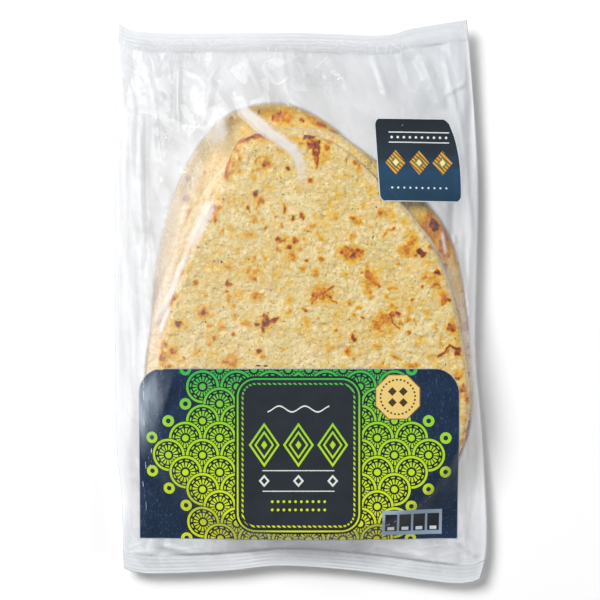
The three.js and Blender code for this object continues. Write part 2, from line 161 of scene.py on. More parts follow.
THIRD_SPOTS = [
    (-9.9, 109.9, 5.6, 0.44, 1.35, 0), (-7.1, 107.6, 2.2, 0.6), (-13.5, 111.2, 2, 0.58),
    (-16.8, 108.8, 1.5, 0.66), (-20.6, 111.8, 3.9, 0.36, 1.5, 20), (-24.1, 114.1, 2.4, 0.34),
    (0.9, 107.4, 1.6, 0.74), (-25.4, 112.9, 0.8, 0.85), (-41.9, 109.3, 1.5, 0.72), (-38.2, 107.1, 4.7, 0.3),
    (-34.9, 100, 1.1, 0.5), (2.3, 101.5, 2, 0.38), (6.5, 108.2, 2.1, 0.5, 2, 150),
    (12.4, 104.4, 2.1, 0.56, 2, 145), (19.5, 99.5, 2.5, 0.62), (25.9, 94.7, 2.4, 0.46, 2, 140),
    (12.4, 98.8, 4.1, 0.3, 1.6, 160), (34.7, 88, 2.5, 0.56), (38.2, 84.1, 2.4, 0.6, 1.8, 125),
    (40.1, 81.2, 2.1, 0.7, 1.8, 120), (42.9, 76.8, 1.8, 0.72, 1.6, 120), (28.8, 91.8, 2.4, 0.4),
    (-57.6, 76.1, 1.2, 0.95, 2, 95), (-66.9, 74.1, 1.6, 0.95), (-67.6, 61.4, 2.1, 0.95),
    (-66.1, 50.6, 2.7, 0.6), (-65.3, 47.6, 1.8, 0.6), (-75.9, 39.4, 1.4, 0.5), (-86.1, 12.2, 2.1, 0.9),
    (-85.6, 6.5, 4.1, 0.5, 1.6, 90), (-78.8, 7.9, 1.5, 0.85), (-80.7, -7.1, 1.5, 0.7, 2.2, 50),
    (-84.1, -26.3, 1.8, 0.8), (-88.8, -29.4, 1.8, 0.8), (-78.2, 30.6, 2.9, 0.35), (-71.2, 41.2, 2.9, 0.35),
    (-59.4, 65.9, 2.9, 0.35), (-56.5, 83.5, 3.5, 0.36), (-52.4, 101.2, 2.9, 0.4), (-50, 71.8, 2.4, 0.35),
    (-60.6, 57.1, 1.8, 0.4), (84, 36.5, 1.8, 0.6), (79.4, 51.8, 1.8, 0.56), (74.1, 60, 2, 0.6),
    (68.8, 64.7, 2.4, 0.66), (-31.2, 115.3, 2.4, 0.36), (-35.9, 114.1, 2.4, 0.4), (-29.4, 103.5, 3.5, 0.3),
    (-5.3, 99.4, 3.5, 0.3), (-22.9, 100.6, 1.8, 0.5, 2, 30), (-88.8, -37.6, 1.8, 0.6),
]
SECOND_SPOTS = [
    (78.2, 45.3, 3.6, 0.84, 1.2, 120), (75.5, 51, 2.6, 0.5), (84, 40, 3.4, 0.46), (72, 46, 2.6, 0.4),
    (82.4, 34.1, 2.4, 0.6), (85.9, 27.1, 2.2, 0.6), (91.2, 23.5, 2.4, 0.44), (95.3, 7.1, 1.8, 0.5),
    (94.7, -1.2, 2.1, 0.55), (97.1, -14.1, 2.4, 0.66, 1.6, 100), (98.2, -25.3, 1.8, 0.75, 1.6, 95),
    (99.4, -32.4, 1.8, 0.7), (97.6, -42.4, 2.4, 0.6), (99.4, -55.3, 2.7, 0.62, 1.5, 90),
    (100.4, -69.8, 2.1, 0.95, 2, 80), (98.2, -80.6, 1.5, 0.8, 2, 70), (97.1, -63.5, 1.8, 0.5),
    (88.8, 38.8, 1.8, 0.66), (84.1, 51.2, 2.9, 0.6), (80.6, 56.5, 2.4, 0.7), (75.9, 62.4, 2.4, 0.6),
    (84.2, 20.8, 1.4, 0.95, 2, 115), (87.6, 7.1, 1.5, 0.5), (90.6, -4.7, 1.5, 0.6), (89.7, -41.2, 1.8, 0.4),
    (91.6, -43.8, 1.1, 1, 1.5, 10), (93.9, -51.4, 1.5, 0.85), (95.3, -59.6, 1.3, 0.8),
    (93.5, -66.5, 2.4, 0.4), (96.6, -76.2, 1.4, 0.85), (94.5, -86.5, 0.8, 1, 2.5, 70),
    (-84.1, -11.8, 1.5, 0.66, 2, 55), (93.5, -81.2, 1.8, 0.5), (95.3, -45.9, 1.8, 0.5),
    (81.8, 30.6, 1.8, 0.6),
]

# Spots on the strip of bread beside the panel, on each bread that may show there.
EDGE_SPOTS = [
    (91.5, -44.5, 1.3, 1, 1.4, 10), (93, -42.5, 2.6, 0.42), (93.8, -50.6, 2.6, 0.66),
    (97.6, -57.5, 2.2, 0.7), (95.5, -55, 3.2, 0.4), (98.6, -65, 2.4, 0.44), (98.8, -73, 1.7, 0.95, 1.8, 80),
    (96.9, -76.5, 2.6, 0.62), (95.6, -82, 2.2, 0.5), (93.8, -89.4, 1.2, 0.9, 2, 70), (94.8, -69, 2.2, 0.36),
]
SPOTS = {
    "bread_lowest": EDGE_SPOTS,
    "bread_third": THIRD_SPOTS,
    "bread_second": SECOND_SPOTS + EDGE_SPOTS,
    "bread_front": FRONT_SPOTS + EDGE_SPOTS,
}

# The small random spots on each bread: how many, their radii and how brown.
SCATTERED_SPOTS = [
    (80, (1.0, 2.8), (0.2, 0.31)), (90, (0.6, 1.2), (0.28, 0.46)), (460, (0.3, 0.55), (0.24, 0.46)),
]

# The noises on a bread: height, size in millimetres and step from the bread's seed. The last are its
# waves and grain, and the others colour it and shape its spots.
MOTTLING = [(0.06, 15, 11), (0.05, 5, 12), (0.05, 2.1, 10)]
PATCHES = [(0.15, 9, 31), (0.08, 4, 32)]
SPOT_SHIFTS = [[(1.1, 3.6, 14), (0.55, 1.5, 15)], [(1.1, 3.6, 16), (0.55, 1.5, 17)]]
SPECKLE, RAGGED = [(0.3, 1.3, 18), (0.18, 3, 19)], [(0.22, 1.2, 20), (0.12, 2.4, 29)]
BUMPS = [(0.5, 42, 21), (0.35, 17, 22), (0.2, 4.2, 26), (0.2, 2.3, 24), (0.1, 1.25, 25)]

# Dark cracks and browned rims on the front bread: points, half width and how brown.
CRACKS = [
    ([(-43, 72.9), (-42.4, 83.5), (-42.1, 89.1)], 2.12, 0.66),
    ([(-42.1, 88.8), (-38.5, 92.3), (-32.1, 95.1)], 1.88, 0.76),
    ([(-32.1, 95.1), (-25.3, 97.1), (-21.4, 96.9)], 1.76, 0.86),
    ([(-43.2, 72.9), (-43, 83.5), (-42.7, 89.4), (-39.1, 93)], 0.59, 0.9),
    ([(3.8, 93.8), (7.1, 89.4), (9.1, 78.5)], 0.71, 0.8),
    ([(10.8, 93.8), (10.3, 88.2), (9.1, 78.5)], 0.76, 0.86),
    ([(-21.4, 58.9), (-24.5, 57.5), (-26.2, 53.5)], 0.53, 0.55),
    ([(19, 9.3), (13.5, 4.8), (9.4, 2.9), (6.6, -1.2)], 0.71, 0.84),
    ([(15.2, 4.1), (17.6, 1.8), (20.9, -0.7)], 0.47, 0.78),
    ([(52.2, -8.2), (53.3, -11.2), (55.6, -13.9), (57.9, -15.3)], 0.59, 0.84),
    ([(65.5, -9.7), (65.9, -11.2), (67.1, -13.1)], 0.47, 0.62),
    ([(80, -31.6), (83.2, -30.2), (85, -27.1), (86.4, -24.7), (89.5, -26.3), (92.6, -30)], 0.88, 0.92),
    ([(81.3, -19.4), (81.1, -27.4)], 0.59, 0.42),
    ([(-63.8, 32.9), (-67.4, 25.3), (-71.2, 17.6)], 0.76, 0.45),
    ([(-71.2, 17.6), (-75, 6.5), (-76.2, -1.8)], 0.65, 0.66),
    ([(9.4, 40.3), (13.8, 36.5)], 0.59, 0.42),
    ([(-79.7, -22.4), (-81.4, -28.2), (-80.6, -37.6)], 0.82, 0.62),
    ([(54.7, -31.1), (58.2, -33.3)], 0.47, 0.6),
    ([(-50.3, 56.5), (-52, 55.9), (-53.8, 49.4)], 0.76, 0.74),
    ([(87.6, -9.4), (91.2, -23.5)], 0.94, 0.3),
    ([(-22.4, 94.4), (-18.2, 95.3), (-0.6, 95.3)], 1.18, 0.3),
]

# Small dark herb flakes on the front bread: x, y, length and turn of the ones that stand out.
FLAKES = [
    (42, 37.8, 2.6, 60), (28.2, -10.3, 1.9, 130), (-10.3, 62.9, 1.8, 5), (-16.7, 85.6, 0.9, 40),
    (-9.6, 83.5, 0.9, 90), (-60, -15.6, 1.2, 10), (-30.1, -27.9, 1.8, 120), (77.1, -19.7, 1.1, 30),
    (61.8, 9.7, 0.9, 60), (14.2, 28.7, 0.9, 0), (17.8, 32.5, 0.8, 50), (29.8, 4.4, 0.8, 90),
    (-25, -37.1, 3.6, 2), (-20.6, -37.3, 3.2, -4), (-50.8, -21.6, 1.4, 140), (-46.5, -24, 1.5, 155),
    (-28.2, 87.1, 1.0, 15), (4.1, 41.2, 1.2, -20), (-51.5, -20.4, 1.2, 60), (12.4, -4.7, 1.1, 35),
]
LOOSE_FLAKES = 300

# The film. Its grid is finer across the ridges of the end seals.
FILM_COLUMNS = 300
FILM_ROWS = 420
SEAL_DEPTH = 11.5
SEAL_GRID_ROWS = 28
SEAL_RIDGES = 5
SEAL_RIDGE_HEIGHT = 0.24
SEAL_GAP = 0.35
FILM_CLEARANCE = 0.15
MARGIN_VEIL = 0.42
SHADED_VEIL = 0.7
BORDER_VEIL = 0.9
MOST_VEIL = 0.92
KEY_LEAN = 0.5
RELAX_PASSES = 300
BLUR_PASSES = 8

# How high the film's facets and creases stand, and how much whiter they make the film: partly milkier
# film and partly painted highlights where they catch the light.
BROAD_HEIGHT, MEDIUM_HEIGHT, SMALL_HEIGHT, CREASE_HEIGHT = 1.6, 0.75, 0.22, 0.5
FACET_MILK_AND_SHEEN, PATCH_HIGHLIGHT, CREASE_HIGHLIGHT, RIDGE_HIGHLIGHT, CRUSHED_MILK_AND_HIGHLIGHT = 0.14, 0.26, 0.4, 0.06, 0.4

# Folds in the upper film: points, half width and height.
FOLDS = [
    ([(-39, 126), (-33, 112), (-23, 101), (-12, 94), (-4, 89), (0, 82), (1, 72)], 4.2, 0.3),
    ([(-44, 124), (-66, 70), (-88, -20)], 2.6, 0.7),
    ([(-100, 140), (-102, 20), (-101, -130)], 3.5, 1.0),
    ([(-94, 120), (-95, -20)], 3.0, 0.8),
    ([(-73, 150), (-72, 98)], 2.6, 1.2),
    ([(-62, 140), (-35, 105)], 4.0, 1.4),
    ([(-50, 148), (-58, 100)], 4.0, 1.4),
    ([(-36, 152), (-20, 118)], 3.0, 1.3),
    ([(-12, 154), (-8, 122)], 2.6, 0.9),
    ([(12, 152), (34, 118)], 4.0, 1.0),
    ([(40, 154), (52, 118)], 3.2, 1.3),
    ([(70, 148), (84, 112)], 5.0, 2.0),
    ([(58, 150), (64, 128)], 3.0, 1.0),
    ([(98, 130), (84, 122)], 2.5, 0.9),
    ([(84, 150), (96, 96)], 3.0, 1.2),
    ([(100, 50), (98, -40), (101, -120)], 2.6, 1.0),
    ([(90, 40), (91, 34)], 1.4, 0.8),
    ([(92, -140), (106, -152)], 3.0, 1.4),
    ([(-90, -142), (-60, -150)], 3.0, 1.0),
    ([(-40, -144), (10, -149)], 2.6, 0.9),
    ([(40, -143), (76, -152)], 3.0, 1.0),
]

# Where the film lies doubled or stands off and looks milky, and painted highlights for its glints and
# bright bands: points, half width and strength.
MILK_AND_HIGHLIGHT_LINES = [
    # The ribbon along a fold: milky film with a painted highlight on it.
    ([(-39, 126), (-33, 112), (-23, 103), (-12, 94), (-4.7, 89), (-0.5, 81), (1, 70), (3, 60)], 3.3, 0.6),
    ([(-42, 123), (-36, 109.5), (-25.5, 100.5), (-14, 91.5), (-7, 86.5)], 0.5, 0.4),
    # The bright band beside the front bread's left edge: a painted highlight.
    ([(-51, 62), (-60, 43), (-68.6, 23.5)], 3.6, 0.5),
    ([(-64, 33), (-68.6, 23.5), (-87.6, -19.4)], 2.2, 0.5),
    ([(-76, -1.8), (-84, -21)], 1.3, 0.62),
    ([(-51, 118), (-50, 98), (-51, 88)], 6.5, 0.42),
    ([(-58, 98), (-72, 62), (-84, 20), (-88, -10), (-91, -40)], 9, 0.22),
    ([(84, 32), (93, 5), (98, -20), (100, -50)], 4.5, 0.18),
    # A painted glint.
    ([(82.2, 42.5), (83.2, 36), (84.5, 26)], 1.1, 0.85),
    # A painted highlight along the front bread's right rim, over its shade.
    ([(55, 62), (59.4, 56.5), (70, 42.4), (79.4, 30.6), (86.5, 15.3), (93.5, -4.7), (96, -34)], 0.8, 0.26),
    ([(-105, 150), (-104, 0), (-101, -120)], 1.6, 0.3),
    ([(-73, 140), (-73, 101)], 0.5, 0.4),
    ([(-73, 103.5), (-56, 103.5)], 0.5, 0.3),
]

# Fine creases in the loose film, which catch the light: how many, where (x from and to, y from
# and to), their turn and its spread in degrees, and the longest.
STREAKS = [
    (46, (-106, 0, 104, 156), 70, 50, 20), (16, (0, 98, 100, 158), 100, 60, 14),
    (40, (-107, -84, -150, 110), 92, 8, 48), (34, (94, 106, -150, 110), 91, 7, 44),
    (90, (-104, 104, -158, -141), 4, 22, 26), (24, (-40, 60, 146, 152), 90, 14, 9),
    (26, (-60, 40, 150, 162), 0, 5, 30), (26, (-80, 80, -163, -152), 0, 6, 30),
]

# The fin seam on the bag's underside.
SEAM = dict(middle=-7.0, half_width=5.5, bottom=-155.0, top=157.0, rows=200, columns=12)

# The printed panel and the corner label, both just above the film.
PANEL = dict(left=-95.6, right=92.6, bottom=-140.0, top=-38.8, radius=15.0)
LABEL = dict(left=45.9, right=95.0, bottom=58.8, top=108.4, radius=4.0, lean=3.0, narrowing=8.5)
PRINT_GAP = 0.12
PANEL_CELL = 0.9
LABEL_CELL = 0.7

# The panel's pattern, in millimetres from its middle: the dark middle, the scales, badge and tiles.
MIDDLE_HALF = (36.0, 45.0)
MIDDLE_CORNER = 11.0
SCALE_RADIUS = 10.0
SCALE_REACH = 4.3
BADGE = dict(x=58.0, y=34.0)
TILES = dict(x=50.0, y=-40.0, pitch=8.4)
LABEL_MIDDLE = (69.5, 83.5)

# The camera looks straight down. The photograph shows the pack at 1.7 pixels a millimetre,
# with the middle of the bag near the middle of the picture.
PICTURE_PIXELS = 600
PIXELS_PER_MM = 1.70
PICTURE_MIDDLE = (-0.6, 1.2)
CAMERA_HEIGHT = 1800
CAMERA_FOCUS_HEIGHT = 25
SENSOR = 36

# The softboxes: place and size in metres, watts, whether the film mirrors them and whether they
# light what they face.
LIGHTS = {
    "key": ((-1.5, 1.5, 2.9), (1.75, 1.75), 146, False, True),
    "fill": ((1.7, -0.7, 0.8), (1.2, 0.8), 9.8, False, True),
    "left_sheen": ((-1.1, 0.25, 1.1), (1.3, 1.2), 9, True, False),
    "high_sheen": ((-0.55, 0.42, 1.3), (0.5, 0.5), 2.4, True, False),
    "glint": ((-0.75, 0.7, 1.2), (0.9, 0.05), 1.4, True, False),
}

# The studio's even light, and the brighter walls that the film mirrors.
WORLD_LIGHT = 0.17
WORLD_SHINE = 0.85
FLOOR_HALF = 3000
FLOOR_WHITE = 0.93

# Colours as they show on a screen, from 0 to 255: the bread's from pale crumb to char, the panel's
# lime from its foot to its head, the herbs, the label's field from its head down, and the milky film
# at its brightest and greyed in painted shade.
CRUST = [
    (0.0, (239, 219, 164)), (0.10, (227, 200, 131)), (0.22, (230, 190, 84)), (0.36, (224, 166, 34)),
    (0.50, (208, 126, 16)), (0.66, (168, 80, 12)), (0.84, (106, 42, 12)), (1.0, (72, 28, 14)),
]
LIME = [(0.0, (214, 222, 40)), (0.40, (184, 216, 34)), (0.68, (146, 204, 44)), (0.95, (62, 172, 80))]
HERB = [(0.36, (26, 28, 16)), (0.5, (84, 84, 34)), (0.64, (132, 118, 54))]
LABEL_FIELD = [(0.0, (30, 36, 40)), (0.42, (38, 50, 60)), (0.62, (36, 70, 98)), (1.0, (30, 58, 80))]
BLACK, WHITE, GREY = (24, 32, 34), (222, 224, 220), (150, 168, 188)
MILKY, MILKY_IN_PAINTED_SHADE = (244.63, 246.4, 248.73), (221.94, 224.61, 228.54)

# The share of the light that clear film lets through, and that it mirrors when seen squarely.
FILM_TINT = (0.958, 0.963, 0.968, 1)
FILM_GLOSS = 0.035


def smooth(low, high, value):
    """Rises smoothly from 0 at low to 1 at high."""
    share = np.clip((value - low) / (high - low), 0, 1)
    return share * share * (3 - 2 * share)


def lattice(x, y, size, seed):
    """The four random values round each point on a square lattice, and the place between them."""
    table = np.random.default_rng(seed).uniform(-1, 1, (128, 128))
    u, v = np.asarray(x) / size, np.asarray(y) / size
    i, j = np.floor(u).astype(int), np.floor(v).astype(int)
    corners = [table[(j + b) % 128, (i + a) % 128] for b in (0, 1) for a in (0, 1)]
    return corners, u - i, v - j


def noise(x, y, size, seed):
    """Smooth noise from -1 to 1 with features of a size in millimetres."""
    (c00, c10, c01, c11), u, v = lattice(x, y, size, seed)
    u, v = u * u * (3 - 2 * u), v * v * (3 - 2 * v)
    return (c00 * (1 - u) + c10 * u) * (1 - v) + (c01 * (1 - u) + c11 * u) * v


def layered(x, y, seed, layers):
    """Noises added up, each given by its height, its size and its step from a seed."""
    return sum(height * noise(x, y, size, seed + step) for height, size, step in layers)


def crumple(x, y, size, seed):
    """Flat facets with sharp creases between them, from -1 to 1, as in crumpled film."""
    warped_x = x + 0.45 * size * noise(x, y, 1.4 * size, seed + 1)
    warped_y = y + 0.45 * size * noise(x, y, 1.4 * size, seed + 2)
    (c00, c10, c01, c11), u, v = lattice(warped_x, warped_y, size, seed)
    lower = c00 + (c10 - c00) * u + (c01 - c00) * v
    upper = c11 + (c01 - c11) * (1 - u) + (c10 - c11) * (1 - v)
    return np.where(u + v < 1, lower, upper)


class Bread:
    """The outline and thickness of one bread."""

    def __init__(self, name, centre, turn, length, width, taper, roundness, bulges, cells):
        self.name = name
        self.centre = centre
        self.cells = cells
        self.seed = sorted(BREADS).index(name) * 100 + 7
        degrees = np.arange(0, 360, 1.0)
        side, along = np.sin(np.radians(degrees)), np.cos(np.radians(degrees))
        grow = 1 + 0.004 * noise(40 * side, 40 * along, 9, self.seed)
        for at, share, spread in bulges:
            off = (degrees - at + 180) % 360 - 180
            grow = grow + share * np.exp(-((off / spread) ** 2))
        x = grow * width / 2 * np.sign(side) * np.abs(side) ** roundness * (1 - taper * along)
        y = grow * length / 2 * along
        self.angles = np.arctan2(y, x) + np.radians(turn)
        self.radii = np.hypot(x, y)

    def reach(self, angle):
        """The distance from the centre to the edge in a direction."""
        return np.interp(angle, self.angles, self.radii, period=2 * np.pi)

    def place(self, angle, share):
        """The place at a share of the way from the centre to the edge in a direction."""
        reach = share * self.reach(angle)
        return self.centre[0] + reach * np.cos(angle), self.centre[1] + reach * np.sin(angle)

    def random_place(self, rng, area):
        """A random place on the inner share of the bread's area."""
        return self.place(rng.uniform(0, 2 * np.pi), np.sqrt(rng.uniform(0, area)))

    def depth(self, x, y):
        """How far inside the edge a place is."""
        dx, dy = x - self.centre[0], y - self.centre[1]
        return self.reach(np.arctan2(dy, dx)) - np.hypot(dx, dy)

    def fullness(self, depth):
        """The share of the full thickness at a depth inside the edge."""
        rim = 1 - np.clip(depth / BREAD_EDGE, 0, 1)
        return np.sqrt(1 - rim ** 2)


class Field:
    """A height field over the whole bag, on a square grid."""

    STEP = 1.5
    X = np.arange(-118, 118.1, STEP)
    Y = np.arange(-174, 174.1, STEP)

    def __init__(self, values):
        self.values = values

    def sample(self, x, y):
        u = np.clip((x - self.X[0]) / self.STEP, 0, len(self.X) - 1.001)
        v = np.clip((y - self.Y[0]) / self.STEP, 0, len(self.Y) - 1.001)
        i, j = u.astype(int), v.astype(int)
        u, v = u - i, v - j
        low = self.values[j, i] * (1 - u) + self.values[j, i + 1] * u
        high = self.values[j + 1, i] * (1 - u) + self.values[j + 1, i + 1] * u
        return low * (1 - v) + high * v

    def bridged(self, reach, passes):
        """The same field as a stiff bread bridges it: level for a reach past its steps, then a ramp."""
        soft = self.values.copy()
        for k in range(reach + passes):
            padded = np.pad(soft, 1, mode="edge")
            beside = padded[:-2, 1:-1], padded[2:, 1:-1], padded[1:-1, :-2], padded[1:-1, 2:]
            soft = np.maximum.reduce(beside) if k < reach else sum(beside) / 4
        return Field(np.maximum(soft, self.values))


def new_mesh_object(name, points, faces):
    """A mesh object from points in millimetres."""
    mesh = bpy.data.meshes.new(name)
    mesh.from_pydata((np.asarray(points) * MM).tolist(), [], np.asarray(faces).tolist())
    mesh.shade_smooth()
    mesh.update()
    piece = bpy.data.objects.new(name, mesh)
    bpy.context.scene.collection.objects.link(piece)
    return piece


def grid_points(x, y, z):
    return np.stack([x, y, z], -1).reshape(-1, 3)


def grid_faces(rows, columns, flip=False):
    """The quads of a grid of points that has this many rows and columns of points."""
    j, i = np.meshgrid(np.arange(rows - 1), np.arange(columns - 1), indexing="ij")
    first = (j * columns + i).ravel()
    quads = np.stack([first, first + 1, first + columns + 1, first + columns], 1)
    return quads[:, ::-1] if flip else quads


def closed_piece(name, x, y, upper, lower):
    """A closed mesh object from an upper and a lower grid of heights, which share their border.

    Also gives which of the two grids' points it keeps.
    """
    number = np.arange(x.size).reshape(x.shape)
    lower_number = number + x.size
    for side in (np.s_[0, :], np.s_[-1, :], np.s_[:, 0], np.s_[:, -1]):
        lower_number[side] = number[side]
    points = np.concatenate([grid_points(x, y, upper), grid_points(x, y, lower)])
    upper_faces, lower_faces = grid_faces(*x.shape), grid_faces(*x.shape, flip=True)
    faces = np.concatenate([upper_faces, lower_number.ravel()[lower_faces]])
    keep, compact = np.unique(faces, return_inverse=True)
    return new_mesh_object(name, points[keep], compact.reshape(faces.shape)), keep


def put_attribute(piece, name, *grids, keep=slice(None)):
    """Stores a number for each point, from one grid or from an upper and a lower one."""
    values = np.concatenate([np.ravel(grid) for grid in grids])[keep]
    attribute = piece.data.attributes.new(name, "FLOAT", "POINT")
    attribute.data.foreach_set("value", values.astype(np.float32))


def disc_grid(cells):
    """A square grid mapped onto a disc: each point's share of the radius, and its angle."""
    line = np.linspace(-1, 1, cells + 1)
    a, b = np.meshgrid(line, line)
    wide = np.abs(a) > np.abs(b)
    radius = np.where(wide, a, b)
    safe = np.where(radius == 0, 1, radius)
    angle = np.where(wide, np.pi / 4 * b / safe, np.pi / 2 - np.pi / 4 * a / safe)
    return np.abs(radius), np.where(radius < 0, angle + np.pi, angle)


def line_distance(points, x, y):
    """How far each place is from a line through some points, and its share of the way along."""
    points = np.array(points, float)
    steps = np.linalg.norm(np.diff(points, axis=0), axis=1)
    travelled = np.concatenate([[0], np.cumsum(steps)])
    nearest, along = np.full(np.shape(x), np.inf), np.zeros(np.shape(x))
    for k in range(len(steps)):
        (ax, ay), (bx, by) = points[k], points[k + 1]
        share = np.clip(((x - ax) * (bx - ax) + (y - ay) * (by - ay)) / steps[k] ** 2, 0, 1)
        away = np.hypot(x - ax - share * (bx - ax), y - ay - share * (by - ay))
        closer = away < nearest
        nearest = np.where(closer, away, nearest)
        along = np.where(closer, (travelled[k] + share * steps[k]) / travelled[-1], along)
    return nearest, along


def fading_line(points, x, y, rise, fall):
    """How far each place is from a line, and the line's strength, which fades out at both ends."""
    away, along = line_distance(points, x, y)
    return away, smooth(0, rise, along) * smooth(1, fall, along)


def scattered_spots(bread):
    """Many small random spots over a bread: pale gold ones, small browned ones and fine specks."""
    rng = np.random.default_rng(bread.seed + 13)
    ranges = [bounds for count, *bounds in SCATTERED_SPOTS for _ in range(count)]
    return [
        (*bread.random_place(rng, 0.98), *(rng.uniform(*bounds) for bounds in (*both, (1, 2), (0, 180))))
        for both in ranges
    ]


def toast(bread, x, y):
    """How browned a bread is at each place: its spots and cracks over a faint mottling."""
    seed = bread.seed
    value = BASE_TOAST + layered(x, y, seed, MOTTLING)
    if bread.name != "bread_front":
        value = value + BACK_WARMTH * smooth(-60, 20, x)
        patchy = 0.27 + layered(x, y, seed, PATCHES)
        pale_edge = 1 - 0.6 * smooth(85, 90, x) * smooth(38, 28, y)
        value = value + patchy * smooth(52, 80, x) * smooth(66, 50, y) * pale_edge
    moved_x, moved_y = (at + layered(x, y, seed, shift) for at, shift in zip((x, y), SPOT_SHIFTS))
    speckle = 1 + layered(x, y, seed, SPECKLE)
    ragged = 1 + layered(x, y, seed, RAGGED)
    for spot_x, spot_y, radius, brown, *long in SPOTS[bread.name] + scattered_spots(bread):
        stretch, turn = long or (1, 0)
        brown = min(brown, DARKEST_SPOT)
        near = np.hypot(x - spot_x, y - spot_y) < 3 * radius * stretch + 1
        dx, dy = moved_x[near] - spot_x, moved_y[near] - spot_y
        cosine, sine = np.cos(np.radians(turn)), np.sin(np.radians(turn))
        off = np.hypot((dx * cosine + dy * sine) / stretch, dy * cosine - dx * sine) / radius
        core = brown * smooth(1.2, 0.6 if brown > 0.4 else 0.3, off * ragged[near]) * speckle[near]
        halo = min(HALO_SHARE * brown, MOST_HALO) * smooth(1.75, 1.0, off * ragged[near]) * speckle[near]
        value[near] = np.maximum(value[near], np.maximum(core, halo))
    if bread.name == "bread_front":
        for points, half_width, brown in CRACKS:
            off = line_distance(points, moved_x * 0.6 + x * 0.4, moved_y * 0.6 + y * 0.4)[0] / half_width
            streak = CRACK_SHARE * brown * smooth(1.4, 0.4, off) * (0.4 + 0.6 * speckle)
            value = np.maximum(value, np.maximum(streak, CRACK_HALO * np.exp(-(off / 2.2) ** 2)))
    return value


def relief(bread, x, y, browned):
    """The bumps of a bread's face: soft waves, grain, small dimples and raised blisters."""
    dimples = smooth(0.3, 0.8, noise(x, y, 7, bread.seed + 23))
    return layered(x, y, bread.seed, BUMPS) - 0.6 * dimples + 0.35 * smooth(0.25, 0.7, browned)


def make_bread(bread, under):
    """One bread lying on the field under it."""
    share, angle = disc_grid(bread.cells)
    x, y = bread.place(angle, share)
    full = bread.fullness((1 - share) * bread.reach(angle))
    full[[0, -1], :] = 0
    full[:, [0, -1]] = 0
    browned = toast(bread, x, y)
    middle = under.sample(x, y) + BREAD_UNDER_SHARE * BREAD_THICKNESS
    up = (1 - BREAD_UNDER_SHARE) * BREAD_THICKNESS * full + full * relief(bread, x, y, browned)
    down = BREAD_UNDER_SHARE * BREAD_THICKNESS * full
    piece, keep = closed_piece(bread.name, x, y, middle + up, middle - down)
    # Painted light: the breads are painted paler towards the left, for the film's whitish sheen on the side
    # that faces the light.
    painted_light_share = smooth(-18, -62, x) * (0.55 + 0.45 * smooth(60, 0, y))
    if bread.name == "bread_front":
        painted_light_share = FRONT_PAINTED_LIGHT * smooth(20, -60, x)
    put_attribute(piece, "toast", browned, UNDERSIDE_TOAST * browned, keep=keep)
    put_attribute(piece, "rim", 1 - full, 1 - full, keep=keep)
    put_attribute(piece, "painted_light", painted_light_share, painted_light_share, keep=keep)
    return piece


def bread_top(bread, under):
    """The field of the stack's top once this bread lies on it."""
    x, y = np.meshgrid(Field.X, Field.Y)
    depth = bread.depth(x, y)
    full = bread.fullness(depth)
    covered = under.values + BREAD_THICKNESS * full
    return Field(np.where(depth > 0, covered, under.values))


def surface_tree(*pieces):
    """A search tree over mesh objects, for finding heights on them."""
    points, faces = [], []
    for piece in pieces:
        start = len(points)
        points += [v.co.copy() for v in piece.data.vertices]
        faces += [[start + k for k in p.vertices] for p in piece.data.polygons]
    return BVHTree.FromPolygons(points, faces)


def heights(tree, x, y, down=True):
    """The heights in millimetres of the surface at each place, seen from above or below."""
    start, ray = (1.0, Vector((0, 0, -1))) if down else (-1.0, Vector((0, 0, 1)))
    found = np.full(np.size(x), np.nan)
    for k, (px, py) in enumerate(zip(np.ravel(x), np.ravel(y))):
        hit = tree.ray_cast(Vector((px * MM, py * MM, start)), ray)[0]
        if hit is not None:
            found[k] = hit.z / MM
    return found.reshape(np.shape(x))


def bag_border():
    """The edge of the bag's solid, counterclockwise from its lower left corner, as four sides.

    Only at its edge does the solid have two points one above the other.
    """
    stacked = {}
    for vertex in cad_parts["bag"].data.vertices:
        x, y, z = (value / MM for value in vertex.co)
        stacked.setdefault((round(x, 2), round(y, 2)), []).append(z)
    stacked = {place: (min(z), max(z)) for place, z in stacked.items()}
    edge = np.array([(x, y, (low + high) / 2) for (x, y), (low, high) in stacked.items() if high > low + 0.5])
    edge = edge[np.argsort(np.arctan2(edge[:, 1], edge[:, 0]))]
    corners = [np.argmax(edge[:, 0] * a + edge[:, 1] * b) for a, b in ((-1, -1), (1, -1), (1, 1), (-1, 1))]
    edge = np.roll(edge, -corners[0], axis=0)
    corners = [(corner - corners[0]) % len(edge) for corner in corners] + [len(edge)]
    edge = np.concatenate([edge, edge[:1]])
    return [edge[a:b + 1] for a, b in zip(corners[:-1], corners[1:])]


def along_side(side, share):
    """Points on one side of the border, at shares of its length."""
    steps = np.linalg.norm(np.diff(side[:, :2], axis=0), axis=1)
    travelled = np.concatenate([[0], np.cumsum(steps)])
    return np.stack([np.interp(share * travelled[-1], travelled, side[:, k]) for k in range(3)], -1)


